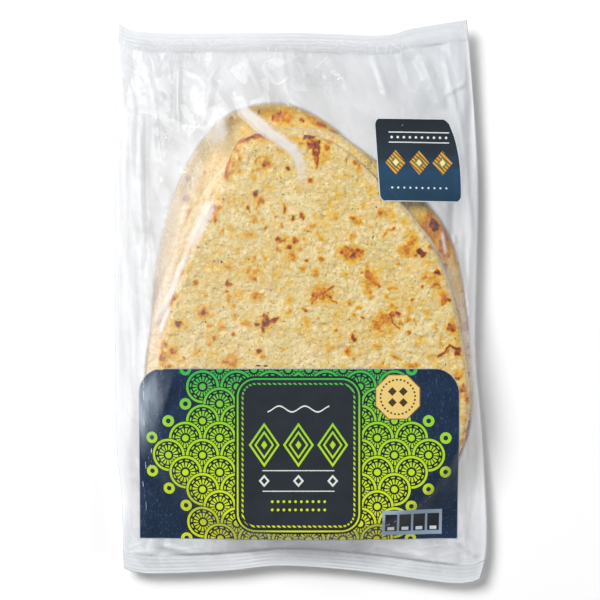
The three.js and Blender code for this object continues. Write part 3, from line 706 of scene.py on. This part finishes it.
def film_grid():
    """A grid of places that fills the bag's outline, blended from its four sides."""
    bottom, right, top, left = bag_border()
    top, left = top[::-1], left[::-1]
    length = BAG_HIGH[1] - BAG_LOW[1]
    seal = SEAL_DEPTH / length
    v = np.concatenate([
        np.linspace(0, seal, SEAL_GRID_ROWS, endpoint=False),
        np.linspace(seal, 1 - seal, FILM_ROWS, endpoint=False),
        np.linspace(1 - seal, 1, SEAL_GRID_ROWS + 1),
    ])[:, None, None]
    u = np.linspace(0, 1, FILM_COLUMNS + 1)[None, :, None]
    ends = (1 - v) * along_side(bottom, u[..., 0]) + v * along_side(top, u[..., 0])
    sides = (1 - u) * along_side(left, v[..., 0]) + u * along_side(right, v[..., 0])
    corners = (1 - u) * (1 - v) * bottom[0] + u * (1 - v) * bottom[-1]
    corners = corners + (1 - u) * v * top[0] + u * v * top[-1]
    return ends + sides - corners, v[:, 0, 0] * length


def fold_heights(x, y):
    """The ridges of the listed folds: sharp crests that fade out at both ends."""
    total = np.zeros_like(x)
    for points, half_width, height in FOLDS:
        away, fade = fading_line(points, x, y, 0.2, 0.8)
        total += height * fade * np.clip(1 - away / half_width, 0, 1)
    return total


def streaks(x, y):
    """Fine straight creases scattered over the loose film, from 0 to 1."""
    rng = np.random.default_rng(41)
    total = np.zeros_like(x)
    for count, (left, right, low, high), turn, spread, longest in STREAKS:
        for _ in range(count):
            place = np.array([rng.uniform(left, right), rng.uniform(low, high)])
            angle = np.radians(turn + spread * rng.uniform(-1, 1))
            reach = longest * rng.uniform(0.15, 0.5) * np.array([np.cos(angle), np.sin(angle)])
            half_width, strength = rng.uniform(0.4, 0.85), rng.uniform(0.1, 0.9)
            near = np.hypot(x - place[0], y - place[1]) < np.hypot(*reach) + 2
            away, fade = fading_line([place - reach, place + reach], x[near], y[near], 0.3, 0.7)
            total[near] = np.maximum(total[near], strength * fade * np.clip(1 - away / half_width, 0, 1))
    return total


def margin_veil(x, y):
    """How milky the film is beside the breads: more in the crushed right and bottom margins."""
    crushed = np.maximum(smooth(58, 92, x), smooth(-118, -148, y))
    crushed = np.maximum(crushed, (0.45 + 0.55 * smooth(0, -60, y)) * smooth(-70, -98, x))
    return MARGIN_VEIL + (SHADED_VEIL - MARGIN_VEIL) * crushed


def painted_film_shade(x, y, sealed):
    """Painted shade on the milky film: how much greyer it is painted than at its brightest,
    most at the right, the foot and the seals.
    """
    right = 0.85 * smooth(30, 85, x) * smooth(10, 60, y)
    foot = 0.75 * smooth(-118, -146, y)
    head = 0.4 * smooth(90, 130, y) * smooth(-60, 0, x)
    left = 0.15 * smooth(0, -60, x) * smooth(-100, 20, y)
    return np.clip(np.maximum(right, foot) + head * (1 - right) + left + 0.3 * sealed, 0, 1)


def lit_share(x, y, z):
    """How squarely a sheet faces the key light, against a level sheet."""
    slope_x = np.gradient(z, axis=1) / np.gradient(x, axis=1)
    slope_y = np.gradient(z, axis=0) / np.gradient(y, axis=0)
    toward = 1 + KEY_LEAN * (slope_x - slope_y)
    return toward / np.sqrt(1 + slope_x ** 2 + slope_y ** 2)


def patches(x, y):
    """Whitish polygons where the film's facets catch the light, most at the upper left."""
    large = smooth(0.3, 0.36, crumple(x, y * 0.7, 10, 51)) * (0.5 + 0.5 * crumple(x, y, 5, 54))
    small = smooth(0.4, 0.46, crumple(x, y * 0.8, 5, 52))
    where = smooth(40, -30, x) * smooth(86, 104, y) + 0.2 * smooth(-60, -92, x) + 0.6 * smooth(-122, -140, y)
    return np.clip(where, 0, 1) * np.maximum(large, 0.7 * small)


def milk_and_highlight(x, y, gap, empty, sealed, facets):
    """How milky the film looks, with painted highlights: most where nothing lies under it or it is
    doubled, uneven by facets, with painted highlight patches and the listed milky and highlight lines.
    """
    value = 0.012 + 0.02 * smooth(0.6, 9, gap) * (1 - empty) + (margin_veil(x, y) - 0.1 * sealed) * empty
    # Facets make it unevenly milky, which also paints some of their light and shade; the patches are painted
    # highlights.
    value = value + (0.012 + FACET_MILK_AND_SHEEN * empty * (1 - sealed)) * smooth(0, 4, gap) * facets
    value = value + PATCH_HIGHLIGHT * patches(x, y) * empty * (1 - 0.6 * sealed)
    ragged_x = x + 0.8 * noise(x, y, 9, 36)
    ragged_y = y + 0.8 * noise(x, y, 9, 37)
    for points, half_width, strength in MILK_AND_HIGHLIGHT_LINES:
        away, fade = fading_line(points, ragged_x, ragged_y, 0.2, 0.6)
        value = value + strength * fade * smooth(1.35, 0.5, away / half_width) * (1 - value)
    return np.clip(value, 0, 0.9)


def neighbour_mean(z):
    """A grid with each inner value replaced by the mean of its four neighbours."""
    mean = z.copy()
    mean[1:-1, 1:-1] = (z[:-2, 1:-1] + z[2:, 1:-1] + z[1:-1, :-2] + z[1:-1, 2:]) / 4
    return mean


def relax(z, floor, fixed):
    """Lets a film settle to the mean of its neighbours, but never below a floor."""
    for _ in range(RELAX_PASSES):
        z = np.where(fixed, z, np.maximum(neighbour_mean(z), floor))
    return z


def make_film(stack_tree):
    """The whole bag's film: an upper and a lower sheet that meet at the bag's edge."""
    grid, travelled = film_grid()
    x, y, edge = grid[..., 0], grid[..., 1], grid[..., 2]
    solid = surface_tree(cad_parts["bag"])
    border = np.ones(x.shape, bool)
    border[1:-1, 1:-1] = False
    inward = 1 - 0.002
    upper, lower = (heights(solid, x * inward, y * inward, down) for down in (True, False))
    upper, lower = (np.where(np.isnan(sheet), edge, sheet) for sheet in (upper, lower))
    contents = np.nan_to_num(heights(stack_tree, x, y), nan=-50.0) + FILM_CLEARANCE

    length = travelled[-1]
    from_end = np.minimum(travelled, length - travelled)[:, None]
    sealed = 1 - smooth(SEAL_DEPTH - 0.6, SEAL_DEPTH + 0.6, from_end) + 0 * x
    fixed = border | (sealed > 0.5)
    upper = relax(upper, contents, fixed)

    loose = smooth(0.8, 6, upper - contents) * (1 - sealed)
    slack = loose * smooth(0, 14, x - BAG_LOW[0]) * smooth(0, 10, BAG_HIGH[0] - x)
    side = smooth(80, 94, np.abs(x))
    broad = crumple(x, y * 0.6, 19, 31) * (1 - side) + crumple(x, y * 0.16, 8, 38) * side
    medium = crumple(x * 0.9 + y * 0.2, y * 0.6, 8.5, 32) * (1 - side) + crumple(x, y * 0.2, 4, 39) * side
    creases = streaks(x, y)
    wrinkles = BROAD_HEIGHT * broad + MEDIUM_HEIGHT * medium
    wrinkles = wrinkles + SMALL_HEIGHT * crumple(x, y, 3.8, 33) + CREASE_HEIGHT * creases
    upper = upper + slack * wrinkles + (0.25 + 0.75 * loose) * (1 - sealed) * fold_heights(x, y)
    upper = np.maximum(upper, np.maximum(contents, lower + SEAL_GAP))
    lower = lower + 0.5 * smooth(1, 6, lower) * (1 - sealed) * crumple(x, y, 11, 34)
    lower = np.clip(lower, 0.2, upper - SEAL_GAP)

    ridges = SEAL_RIDGE_HEIGHT * np.cos(2 * np.pi * SEAL_RIDGES * from_end / SEAL_DEPTH)
    ridges = ridges * (0.25 + 0.75 * smooth(-0.3, 0.5, noise(x, 0.3 * y, 26, 40)))
    ridges = ridges * (1 - 0.7 * smooth(-50, -95, x) * (y < 0)) * (1 - 0.5 * smooth(-60, 0, x) * (y > 0))
    seal_facets = crumple(x * 0.7, y, 9, 35)
    seal_middle = edge + sealed * (ridges + 0.6 * seal_facets)
    upper = upper * (1 - sealed) + (seal_middle + SEAL_GAP / 2) * sealed
    lower = lower * (1 - sealed) + (seal_middle - SEAL_GAP / 2) * sealed
    upper, lower = np.where(border, edge, upper), np.where(border, edge, lower)
    film, keep = closed_piece("film_bag", x, y, upper, lower)

    empty = (contents < 0).astype(float)
    for _ in range(BLUR_PASSES):
        empty = neighbour_mean(empty)
    empty = np.maximum(smooth(0, 0.6, empty), sealed)
    above = milk_and_highlight(x, y, upper - contents, empty, sealed, broad + medium)
    # Painted light: the upper sheet is made less milky where it faces away from the key light, which takes
    # out its grey shade there.
    above = above * (1 - 0.2 * smooth(0.8, 0.35, lit_share(x, y, upper)) * (1 - sealed) * smooth(-60, 0, y))
    # Painted light and shade across the seal ridges, and painted highlights on the creases.
    above = above + RIDGE_HIGHLIGHT * sealed * ridges / SEAL_RIDGE_HEIGHT + CREASE_HIGHLIGHT * creases * (1 - above)
    # The crushed lower left corner gets whiter facets: milky film and painted highlights.
    crushed_corner = smooth(-74, -98, x) * smooth(-60, -140, y) * (crumple(x, y, 6, 56) > 0.15)
    above = above + sealed * (CRUSHED_MILK_AND_HIGHLIGHT * crushed_corner + 0.07 * (seal_facets + medium))
    below = (0.05 + 0.03 * broad) * (1 - empty) + (margin_veil(x, y) - 0.1 * sealed) * empty
    from_sides = [np.hypot(x - x[:, [k]], y - y[:, [k]]) for k in (0, -1)]
    from_edge = np.minimum.reduce([*from_sides, from_end + 0 * x])
    below = np.maximum(below, 0.5 * smooth(18, 8, from_edge))
    sheets = (sheet + (BORDER_VEIL - sheet) * smooth(6, 0, from_edge) for sheet in (above, below))
    put_attribute(film, "milk_and_highlight", *(np.clip(sheet, 0, MOST_VEIL) for sheet in sheets), keep=keep)
    # Painted shade: how much greyer the milky film is painted.
    shade = painted_film_shade(x, y, sealed)
    put_attribute(film, "shade", shade, shade, keep=keep)
    return film


def make_back_seam(film_tree):
    """The flattened fin seam along the middle of the bag's underside."""
    share = np.linspace(0, 1, SEAM["rows"] + 1)[:, None]
    across = np.linspace(-1, 1, SEAM["columns"] + 1)[None, :]
    y = SEAM["bottom"] + (SEAM["top"] - SEAM["bottom"]) * share + 0 * across
    x = SEAM["middle"] + 0.6 * noise(0 * y, y, 40, 71) + SEAM["half_width"] * across
    z = heights(film_tree, x, y, down=False) - 0.12 + 0.04 * np.cos(np.pi * 5 * across)
    piece = new_mesh_object("back_seam", grid_points(x, y, z), grid_faces(*x.shape, flip=True))
    put_attribute(piece, "milk_and_highlight", np.full(x.shape, 0.1))
    put_attribute(piece, "shade", np.zeros(x.shape))
    return piece


def make_flakes(bread, stack_tree):
    """Small pointed herb flakes that lie on the front bread, just under the film."""
    rng = np.random.default_rng(61)
    flakes = [(*flake, 0.30) for flake in FLAKES]
    for _ in range(LOOSE_FLAKES):
        place = bread.random_place(rng, 0.9)
        flakes.append((*place, rng.uniform(0.4, 1.5), rng.uniform(0, 180), rng.uniform(0.25, 0.5)))
    outline = np.array([(-0.5, 0), (-0.2, -0.5), (0.2, -0.5), (0.5, 0), (0.2, 0.5), (-0.2, 0.5), (0, 0)])
    points, faces = [], []
    for middle_x, middle_y, length, turn, share in flakes:
        cosine, sine = np.cos(np.radians(turn)), np.sin(np.radians(turn))
        along = length * outline[:, 0]
        side = max(0.32, share * length) * outline[:, 1] * rng.uniform(0.8, 1.2, 7)
        x, y = middle_x + along * cosine - side * sine, middle_y + along * sine + side * cosine
        z = heights(stack_tree, x, y) + np.array([0.03] * 6 + [0.09])
        if np.isnan(z).any():
            continue
        start = len(points)
        points += np.stack([x, y, z], -1).tolist()
        faces += [(start + k, start + (k + 1) % 6, start + 6) for k in range(6)]
    return new_mesh_object("herb_flakes", points, faces)


def corner_inset(short, radius):
    """How far a rounded corner draws a side in, a distance past the corner's start."""
    return radius - np.sqrt(radius ** 2 - np.clip(short, 0, radius) ** 2)


def panel_sides(share):
    """The left and right edge of the printed panel at shares of its height."""
    height = PANEL["top"] - PANEL["bottom"]
    inset = corner_inset(share * height - (height - PANEL["radius"]), PANEL["radius"])
    return PANEL["left"] + inset, PANEL["right"] - inset


def label_sides(share):
    """The left and right edge of the corner label, whose right side curves down with the film."""
    from_end = np.minimum(share, 1 - share) * (LABEL["top"] - LABEL["bottom"])
    inset = corner_inset(LABEL["radius"] - from_end, LABEL["radius"])
    left = LABEL["left"] - LABEL["lean"] * share + inset
    return left, LABEL["right"] - LABEL["narrowing"] * share ** 3 - inset


def make_print(name, sides, place, cell, film_tree):
    """A thin printed sheet that follows the film. Its UV map holds millimetres."""
    low, high = place["bottom"], place["top"]
    rows = round((high - low) / cell)
    even = np.linspace(0, 1, rows + 1)
    share = (0.15 * (1 - np.cos(np.pi * even)) / 2 + 0.85 * even)[:, None]
    left, right = sides(share)
    u = np.linspace(0, 1, round(np.max(right - left) / cell) + 1)[None, :]
    x = left * (1 - u) + right * u
    y = low + (high - low) * share + 0 * u
    z = heights(film_tree, x, y) + PRINT_GAP
    piece = new_mesh_object(name, grid_points(x, y, z), grid_faces(*x.shape))
    layer = piece.data.uv_layers.new(name="print")
    loops = np.array([loop.vertex_index for loop in piece.data.loops])
    layer.data.foreach_set("uv", grid_points(x, y, z)[loops, :2].astype(np.float32).ravel())
    put_attribute(piece, "inside", np.minimum.reduce([x - left, right - x, y - low, high - y]))
    return piece


class Shader:
    """A material's node tree, with short ways to add and join nodes."""

    def __init__(self, name):
        self.material = bpy.data.materials.new(name)
        self.material.use_nodes = True
        self.tree = self.material.node_tree
        self.tree.nodes.clear()
        self.output = self.tree.nodes.new("ShaderNodeOutputMaterial")

    def node(self, kind, inputs=(), **settings):
        made = self.tree.nodes.new(kind)
        for key, value in settings.items():
            setattr(made, key, value)
        for key, value in dict(inputs).items():
            self.feed(made.inputs[key], value)
        return made

    def feed(self, socket, value):
        """Sets an input to a number, to another node's first output or to a socket."""
        if isinstance(value, Value):
            value = value.socket
        elif isinstance(value, bpy.types.Node):
            value = value.outputs[0]
        if isinstance(value, bpy.types.NodeSocket):
            self.tree.links.new(value, socket)
        else:
            socket.default_value = value

    def attribute(self, name):
        return Value(self, self.node("ShaderNodeAttribute", attribute_name=name).outputs["Fac"])

    def noise(self, scale, detail=2.0, stretch=(1, 1, 1), offset=0.0):
        place = self.node("ShaderNodeTexCoord").outputs["Object"]
        moved = {"Vector": place, "Scale": stretch, "Location": (offset, offset, offset)}
        mapped = self.node("ShaderNodeMapping", moved)
        made = self.node("ShaderNodeTexNoise", {"Vector": mapped, "Scale": scale, "Detail": detail})
        return Value(self, made.outputs["Fac"])

    def ramp(self, factor, stops):
        """A colour that runs through stops, each a place from 0 to 1 and a screen colour."""
        made = self.node("ShaderNodeValToRGB", {"Fac": factor})
        elements = made.color_ramp.elements
        while len(elements) < len(stops):
            elements.new(0.5)
        for element, (place, colour) in zip(elements, stops):
            element.position = place
            element.color = linear(colour)
        return made.outputs["Color"]

    def mix(self, factor, first, second):
        """One colour laid over another. Each is a screen colour or a node's colour."""
        first, second = (linear(c) if isinstance(c, tuple) else c for c in (first, second))
        inputs = {"Factor": factor, "A": first, "B": second}
        return self.node("ShaderNodeMix", inputs, data_type="RGBA").outputs["Result"]

    def inked(self, colour, *layers):
        """A colour with inks laid over it in turn, each given as its mask and its colour."""
        for mask, ink in layers:
            colour = self.mix(mask, colour, ink)
        return colour

    def principled(self, colour, roughness, **more):
        """The finished material with one glossy surface."""
        inputs = {"Base Color": colour, "Roughness": roughness}
        inputs.update({name.replace("_", " "): value for name, value in more.items()})
        return self.finish(self.node("ShaderNodeBsdfPrincipled", inputs))

    def finish(self, surface):
        self.feed(self.output.inputs["Surface"], surface)
        return self.material


class Value:
    """A number in a material's nodes, with plain arithmetic between such numbers."""

    def __init__(self, shader, socket):
        self.shader = shader
        self.socket = socket

    def math(self, operation, *others):
        inputs = dict(enumerate((self, *others)))
        made = self.shader.node("ShaderNodeMath", inputs, operation=operation)
        return Value(self.shader, made.outputs[0])

    def __add__(self, other):
        return self.math("ADD", other)

    def __sub__(self, other):
        return self.math("SUBTRACT", other)

    def __mul__(self, other):
        return self.math("MULTIPLY", other)

    def __truediv__(self, other):
        return self.math("DIVIDE", other)

    def __abs__(self):
        return self.math("ABSOLUTE")

    def __mod__(self, other):
        return self.math("FLOORED_MODULO", other)

    def length(self, other):
        """The length of an arrow with this number and another as its two sides."""
        return (self * self + other * other).math("SQRT")

    def angle(self, other):
        return self.math("ARCTAN2", other)

    def below(self, limit):
        return self.math("LESS_THAN", limit)

    def above(self, limit):
        return self.math("GREATER_THAN", limit)

    def within(self, reach):
        return abs(self).below(reach)

    def between(self, low, high):
        return self.above(low) * self.below(high)

    def flip(self):
        return (self * -1.0) + 1.0

    def either(self, other):
        return self.math("MAXIMUM", other)

    def clipped(self):
        return self.math("MAXIMUM", 0.0).math("MINIMUM", 1.0)


def linear(colour):
    """A screen colour as light, with full opacity."""
    share = np.array(colour) / 255
    light = np.where(share < 0.04045, share / 12.92, ((share + 0.055) / 1.055) ** 2.4)
    return (*(float(v) for v in light), 1)


def bread_material(name):
    shader = Shader(name)
    browned = shader.attribute("toast")
    fine, blotch = shader.noise(520, 3) - 0.5, shader.noise(110, 3, offset=3.1) - 0.5
    crust = shader.ramp(browned + fine * (browned * 0.5 + 0.1) + blotch * 0.1, CRUST)
    crumb = (browned * -4.0 + 1.5).clipped()
    green = (shader.noise(90, 3, offset=5.3) - 0.5).clipped() * 3.4
    pink = (shader.noise(150, 2, offset=9.1) - 0.55).clipped() * 3.0
    pore_shade = shader.noise(650, 3, offset=7.7).above(0.605)
    pale = shader.noise(420, 4, offset=2.2).above(0.58)
    colour = shader.inked(
        crust,
        (green.math("MINIMUM", 0.26) * crumb, (203, 191, 124)),
        (pink.math("MINIMUM", 0.3) * crumb, (230, 190, 138)),
        # Painted shade and light on the crumb: small olive-brown dots paint the shade in its pores, and pale
        # dots paint highlights on it.
        (pore_shade * crumb * 0.65, (186, 150, 66)),
        (pale * crumb * 0.5, (250, 236, 196)),
        # Paler at the rim: partly the crumb's own paler edge and partly a painted highlight over the rounded
        # edge's shade.
        (shader.attribute("rim") * (browned * -1.3 + 1.0).clipped() * 0.55, (252, 218, 168)),
        # Painted light: paler where the film's whitish sheen lies over the bread.
        (shader.attribute("painted_light") * 0.66, (255, 236, 212)),
    )
    height = shader.noise(260, 4, offset=1.3)
    bump = shader.node("ShaderNodeBump", {"Height": height, "Strength": 0.9, "Distance": 0.0024})
    return shader.principled(colour, 0.72, Normal=bump, Specular_IOR_Level=0.3, Sheen_Weight=0.1)


def film_material(name):
    """Clear film: it lets light through, scatters some where it is milky, and reflects at a slant.

    Its milky white is greyed by painted shade, and its milky share also carries painted highlights.
    """
    shader = Shader(name)
    slant = shader.node("ShaderNodeLayerWeight", {"Blend": 0.5}).outputs["Facing"]
    gloss_share = (Value(shader, slant).math("POWER", 4.0) * 0.8 + FILM_GLOSS).clipped()
    whiteness = shader.mix(shader.attribute("shade"), MILKY, MILKY_IN_PAINTED_SHADE)
    clear = shader.node("ShaderNodeBsdfTransparent", {"Color": FILM_TINT})
    milky = shader.node("ShaderNodeBsdfDiffuse", {"Color": whiteness})
    gloss = shader.node("ShaderNodeBsdfGlossy", {"Roughness": 0.08})
    body = shader.node("ShaderNodeMixShader", {0: shader.attribute("milk_and_highlight"), 1: clear, 2: milky})
    return shader.finish(shader.node("ShaderNodeMixShader", {0: gloss_share, 1: body, 2: gloss}))


def flake_material():
    shader = Shader("dried_herb")
    return shader.principled(shader.ramp(shader.noise(900, 2), HERB), 0.8)


def print_surface(shader, colour):
    """Ink on the film: matt colour under a thin glossy layer with a faint ripple."""
    ripple = shader.noise(180, 2)
    bump = shader.node("ShaderNodeBump", {"Height": ripple, "Strength": 0.1, "Distance": 0.001})
    return shader.principled(colour, 0.34, Normal=bump, Specular_IOR_Level=0.06, Coat_Weight=0.28,
                             Coat_Roughness=0.16)


def print_place(shader, middle_x, middle_y):
    """The place on a printed sheet, in millimetres from a middle."""
    uv = shader.node("ShaderNodeUVMap", uv_map="print")
    split = shader.node("ShaderNodeSeparateXYZ", {0: uv})
    return Value(shader, split.outputs[0]) - middle_x, Value(shader, split.outputs[1]) - middle_y


def denim(shader):
    """A navy field with a faded mottling and fine pale threads."""
    mottle = shader.noise(60, 4) * 0.9 + shader.noise(420, 2, stretch=(1, 0.25, 1)) * 0.6
    field = shader.mix((mottle - 0.42).clipped(), (6, 22, 42), (34, 60, 92))
    threads = shader.noise(1500, 1, stretch=(1, 0.3, 1)).above(0.66)
    return shader.mix(threads * 0.3, field, (92, 116, 140))


def lozenges(x, y, pitch, half_width, half_height):
    """A row of lozenges along y = 0: 0 at the middle of each and 1 on its edge."""
    across = abs((x + pitch / 2) % pitch - pitch / 2)
    return across / half_width + abs(y) / half_height


def beads(x, y, pitch, radius):
    """A row of round dots along y = 0."""
    return abs(x % pitch - pitch / 2).length(y).below(radius)


def scale_pattern(x, y):
    """Rows of overlapping round scales, fewer to the outer side in the outer rows.

    Gives what is covered, the lines on it, and where small ring dots stand beside the scales.
    """
    u, v = x / SCALE_RADIUS, y / SCALE_RADIUS
    row = v.math("FLOOR")
    layers = []
    for step in (0.0, 1.0):
        middle_v = row + step
        shift = middle_v % 2.0
        middle_u = ((u + shift) * 0.5).math("ROUND") * 2.0 - shift
        limit = abs(middle_v) * -0.5 + SCALE_REACH
        across, up = u - middle_u, v - middle_v
        away = across.length(up)
        allowed = (middle_u - limit).below(0.0)
        beside = (middle_u - limit).between(0.0, 1.2)
        layers.append((across, up, away, allowed * away.below(1.0), beside * away.between(0.14, 0.34)))
    first, second = layers
    top = first[3]
    rest = top.flip()
    across, up, away = (first[k] * top + second[k] * rest for k in range(3))
    covered = top.either(second[3])
    rays = (up.angle(across) * 16.0).math("SINE").above(-0.35)
    dashes = (up.angle(across) * 12.0).math("SINE").above(-0.2)
    lines = away.between(0.82, 0.96).either(away.between(0.66, 0.74) * dashes)
    lines = lines.either(away.between(0.30, 0.58) * rays).either(away.below(0.19))
    dots = first[4].either(second[4]) * covered.flip()
    return covered, lines, dots


def panel_material():
    """The printed panel: a navy field, two groups of lime scales, a dark middle, a badge and tiles, and a
    painted glare at its upper left corner.
    """
    shader = Shader("panel_print")
    x, y = print_place(shader, (PANEL["left"] + PANEL["right"]) / 2, (PANEL["bottom"] + PANEL["top"]) / 2)
    lime = shader.ramp(y / 100.0 + 0.5, LIME)
    covered, lines, dots = scale_pattern(abs(x) - MIDDLE_HALF[0], y)

    corner_x, corner_y = (
        (abs(place) - (half - MIDDLE_CORNER)).math("MAXIMUM", 0.0) for place, half in zip((x, y), MIDDLE_HALF)
    )
    edge = corner_x.length(corner_y) - MIDDLE_CORNER
    dark = shader.mix((shader.noise(90, 3) - 0.3).clipped(), (30, 36, 42), (44, 52, 60))
    stitches = edge.between(-3.9, -2.8) * ((x + y) * 2.1).math("SINE").above(-0.2)
    large = lozenges(x, y - 6.0, 20.0, 9.0, 13.0)
    nested = large.between(0.84, 1.0).either(large.between(0.5, 0.64)).either(large.below(0.2))
    small = lozenges(x, y + 15.0, 20.0, 3.2, 3.6).between(0.55, 1.0)
    wave = (y - 27.0 - (x * 0.42).math("SINE") * 1.7).within(0.42) * x.within(18.0)
    rules = (abs(y + 15.0) - 6.0).within(0.28) * x.within(21.0)
    bead_rows = beads(x, abs(y + 29.5) - 2.4, 3.4, 0.8) * x.within(17.0)

    badge_x, badge_y = x - BADGE["x"], y - BADGE["y"]
    side_x, side_y = abs(badge_x), abs(badge_y)
    octagon = side_x.either(side_y).either((side_x + side_y) * 0.7071)
    ring = side_x.length(side_y).between(9.6, 10.6) * (badge_y.angle(badge_x) * 28.0).math("SINE").above(0.0)
    petals = (abs(side_x - 3.2) / 2.6 + abs(side_y - 3.2) / 2.6).below(1.0)

    tile_x, tile_y = x - TILES["x"], y - TILES["y"]
    in_tile = abs((tile_x / TILES["pitch"]) % 1.0 - 0.5)
    strip = tile_x.between(-1.0, 4 * TILES["pitch"] + 1.0) * tile_y.within(7.6)
    tiles = in_tile.below(0.42) * tile_y.within(5.2) * tile_x.between(0.0, 4 * TILES["pitch"])
    feet = in_tile.below(0.24) * tile_y.between(-4.6, -2.6) * tiles

    # Painted glare: a pale silvery reflection painted on the panel's upper left corner, streaked by noise.
    corner = ((x * -1.0 + y * 0.3 - 86.0) / 14.0).clipped() * ((y + 4.0) / 26.0).clipped()
    corner = corner * ((y * -1.0 + 52.0) / 14.0).clipped()
    painted_glare = (corner * (shader.noise(110, 4, stretch=(1, 0.35, 1)) * 3.0 - 0.7)).clipped() * 0.8
    return print_surface(shader, shader.inked(
        denim(shader),
        (covered, BLACK), ((lines * covered).either(dots), lime),
        (edge.below(1.2), BLACK), (edge.below(0.0), dark),
        (edge.between(-1.0, 0.0).either(stitches), lime),
        (nested * x.within(29.5), lime), (small * x.within(29.5), (216, 220, 214)),
        (wave.either(rules), WHITE), (bead_rows, lime),
        (octagon.below(13.2), (120, 92, 40)), (octagon.below(12.6), (226, 196, 118)),
        (ring.either(petals), (66, 54, 34)),
        (strip, GREY), (tiles, (26, 32, 40)), (feet, (222, 228, 232)),
        (shader.attribute("inside").below(0.35), (150, 168, 182)), (painted_glare, (176, 190, 204)),
    ))


def label_material():
    """The corner label: dark at the top and blue below, with golden lozenges and a white border."""
    shader = Shader("label_print")
    x, y = print_place(shader, *LABEL_MIDDLE)
    grain = shader.noise(120, 3, stretch=(0.25, 1.4, 1)) * 0.35
    lozenge = lozenges(x, y + 1.5, 14.0, 7.0, 8.5)
    row = lozenge.below(1.0) * x.within(20.5)
    stripes = ((x + y) * 2.4).math("SINE").above(0.35)
    bead_rows = beads(x, y - 13.5, 3.6, 0.75).either(beads(x, y + 16.5, 3.6, 0.6))
    rules = (abs(y - 13.5) - 3.0).within(0.3)
    return print_surface(shader, shader.inked(
        shader.ramp(y / -50.0 + 0.3 + grain, LABEL_FIELD),
        (row * lozenge.below(0.86), shader.mix(stripes, (212, 164, 78), (120, 72, 34))),
        (row * lozenge.between(0.34, 0.46), (94, 128, 60)),
        (row * lozenge.below(0.24), (240, 226, 184)),
        (bead_rows.either(rules) * x.within(18.0), (226, 230, 230)),
        (shader.attribute("inside").below(0.5), (206, 214, 218)),
    ))


def floor_material():
    shader = Shader("pale_floor")
    return shader.finish(shader.node("ShaderNodeBsdfDiffuse", {"Color": (*[FLOOR_WHITE] * 3, 1)}))


def place_camera():
    data = bpy.data.cameras.new("camera")
    camera = bpy.data.objects.new("camera", data)
    bpy.context.scene.collection.objects.link(camera)
    distance = CAMERA_HEIGHT - CAMERA_FOCUS_HEIGHT
    data.sensor_width = SENSOR
    data.lens = SENSOR * distance / (PICTURE_PIXELS / PIXELS_PER_MM)
    data.clip_end = 20
    camera.location = (PICTURE_MIDDLE[0] * MM, PICTURE_MIDDLE[1] * MM, CAMERA_HEIGHT * MM)
    bpy.context.scene.camera = camera


def area_light(name, place, size, power, shine, light):
    """A softbox that faces the bag."""
    data = bpy.data.lights.new(name, "AREA")
    data.shape = "RECTANGLE"
    data.size, data.size_y = size
    data.energy = power
    lamp = bpy.data.objects.new(name, data)
    lamp.location = place
    lamp.rotation_euler = (-Vector(place)).to_track_quat("-Z", "Y").to_euler()
    lamp.visible_glossy = shine
    lamp.visible_diffuse = light
    bpy.context.scene.collection.objects.link(lamp)


def light_scene():
    """A white studio, brighter where the film mirrors it, and the softboxes."""
    world = bpy.data.worlds.new("studio")
    bpy.context.scene.world = world
    world.use_nodes = True
    nodes, links = world.node_tree.nodes, world.node_tree.links
    background = nodes["Background"]
    background.inputs["Color"].default_value = (1, 1, 1, 1)
    strength = nodes.new("ShaderNodeMath")
    strength.operation = "MULTIPLY_ADD"
    links.new(nodes.new("ShaderNodeLightPath").outputs["Is Glossy Ray"], strength.inputs[0])
    strength.inputs[1].default_value = WORLD_SHINE - WORLD_LIGHT
    strength.inputs[2].default_value = WORLD_LIGHT
    links.new(strength.outputs[0], background.inputs["Strength"])
    for name, facts in LIGHTS.items():
        area_light(name, *facts)
    bpy.context.scene.view_settings.view_transform = "Standard"


def make_floor():
    corners = [(a * FLOOR_HALF, b * FLOOR_HALF, 0) for a, b in ((-1, -1), (1, -1), (1, 1), (-1, 1))]
    floor = new_mesh_object("floor", corners, [(0, 1, 2, 3)])
    floor.data.materials.append(floor_material())


def dress(piece, material, replaced):
    """Gives a piece its material and its body, and hides the node that it stands for."""
    piece.data.materials.append(material)
    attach(piece, "root")
    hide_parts(replaced)


place_camera()
light_scene()
make_floor()

stack = Field(np.full((len(Field.Y), len(Field.X)), STACK_BOTTOM))
pieces = []
for bread_name, facts in BREADS.items():
    bread = Bread(bread_name, **facts)
    resting = stack.bridged(*BRIDGE_STEPS)
    pieces.append(make_bread(bread, resting))
    dress(pieces[-1], bread_material(bread_name), "bag")
    stack = bread_top(bread, resting)

stack_surface = surface_tree(*pieces)
dress(make_flakes(bread, stack_surface), flake_material(), "bag")
film = make_film(stack_surface)
dress(film, film_material("clear_film"), "bag")
film_surface = surface_tree(film)
dress(make_back_seam(film_surface), film_material("seam_film"), "bag")
panel = make_print("printed_panel", panel_sides, PANEL, PANEL_CELL, film_surface)
dress(panel, panel_material(), "front_print")
label = make_print("printed_label", label_sides, LABEL, LABEL_CELL, film_surface)
dress(label, label_material(), "corner_label")
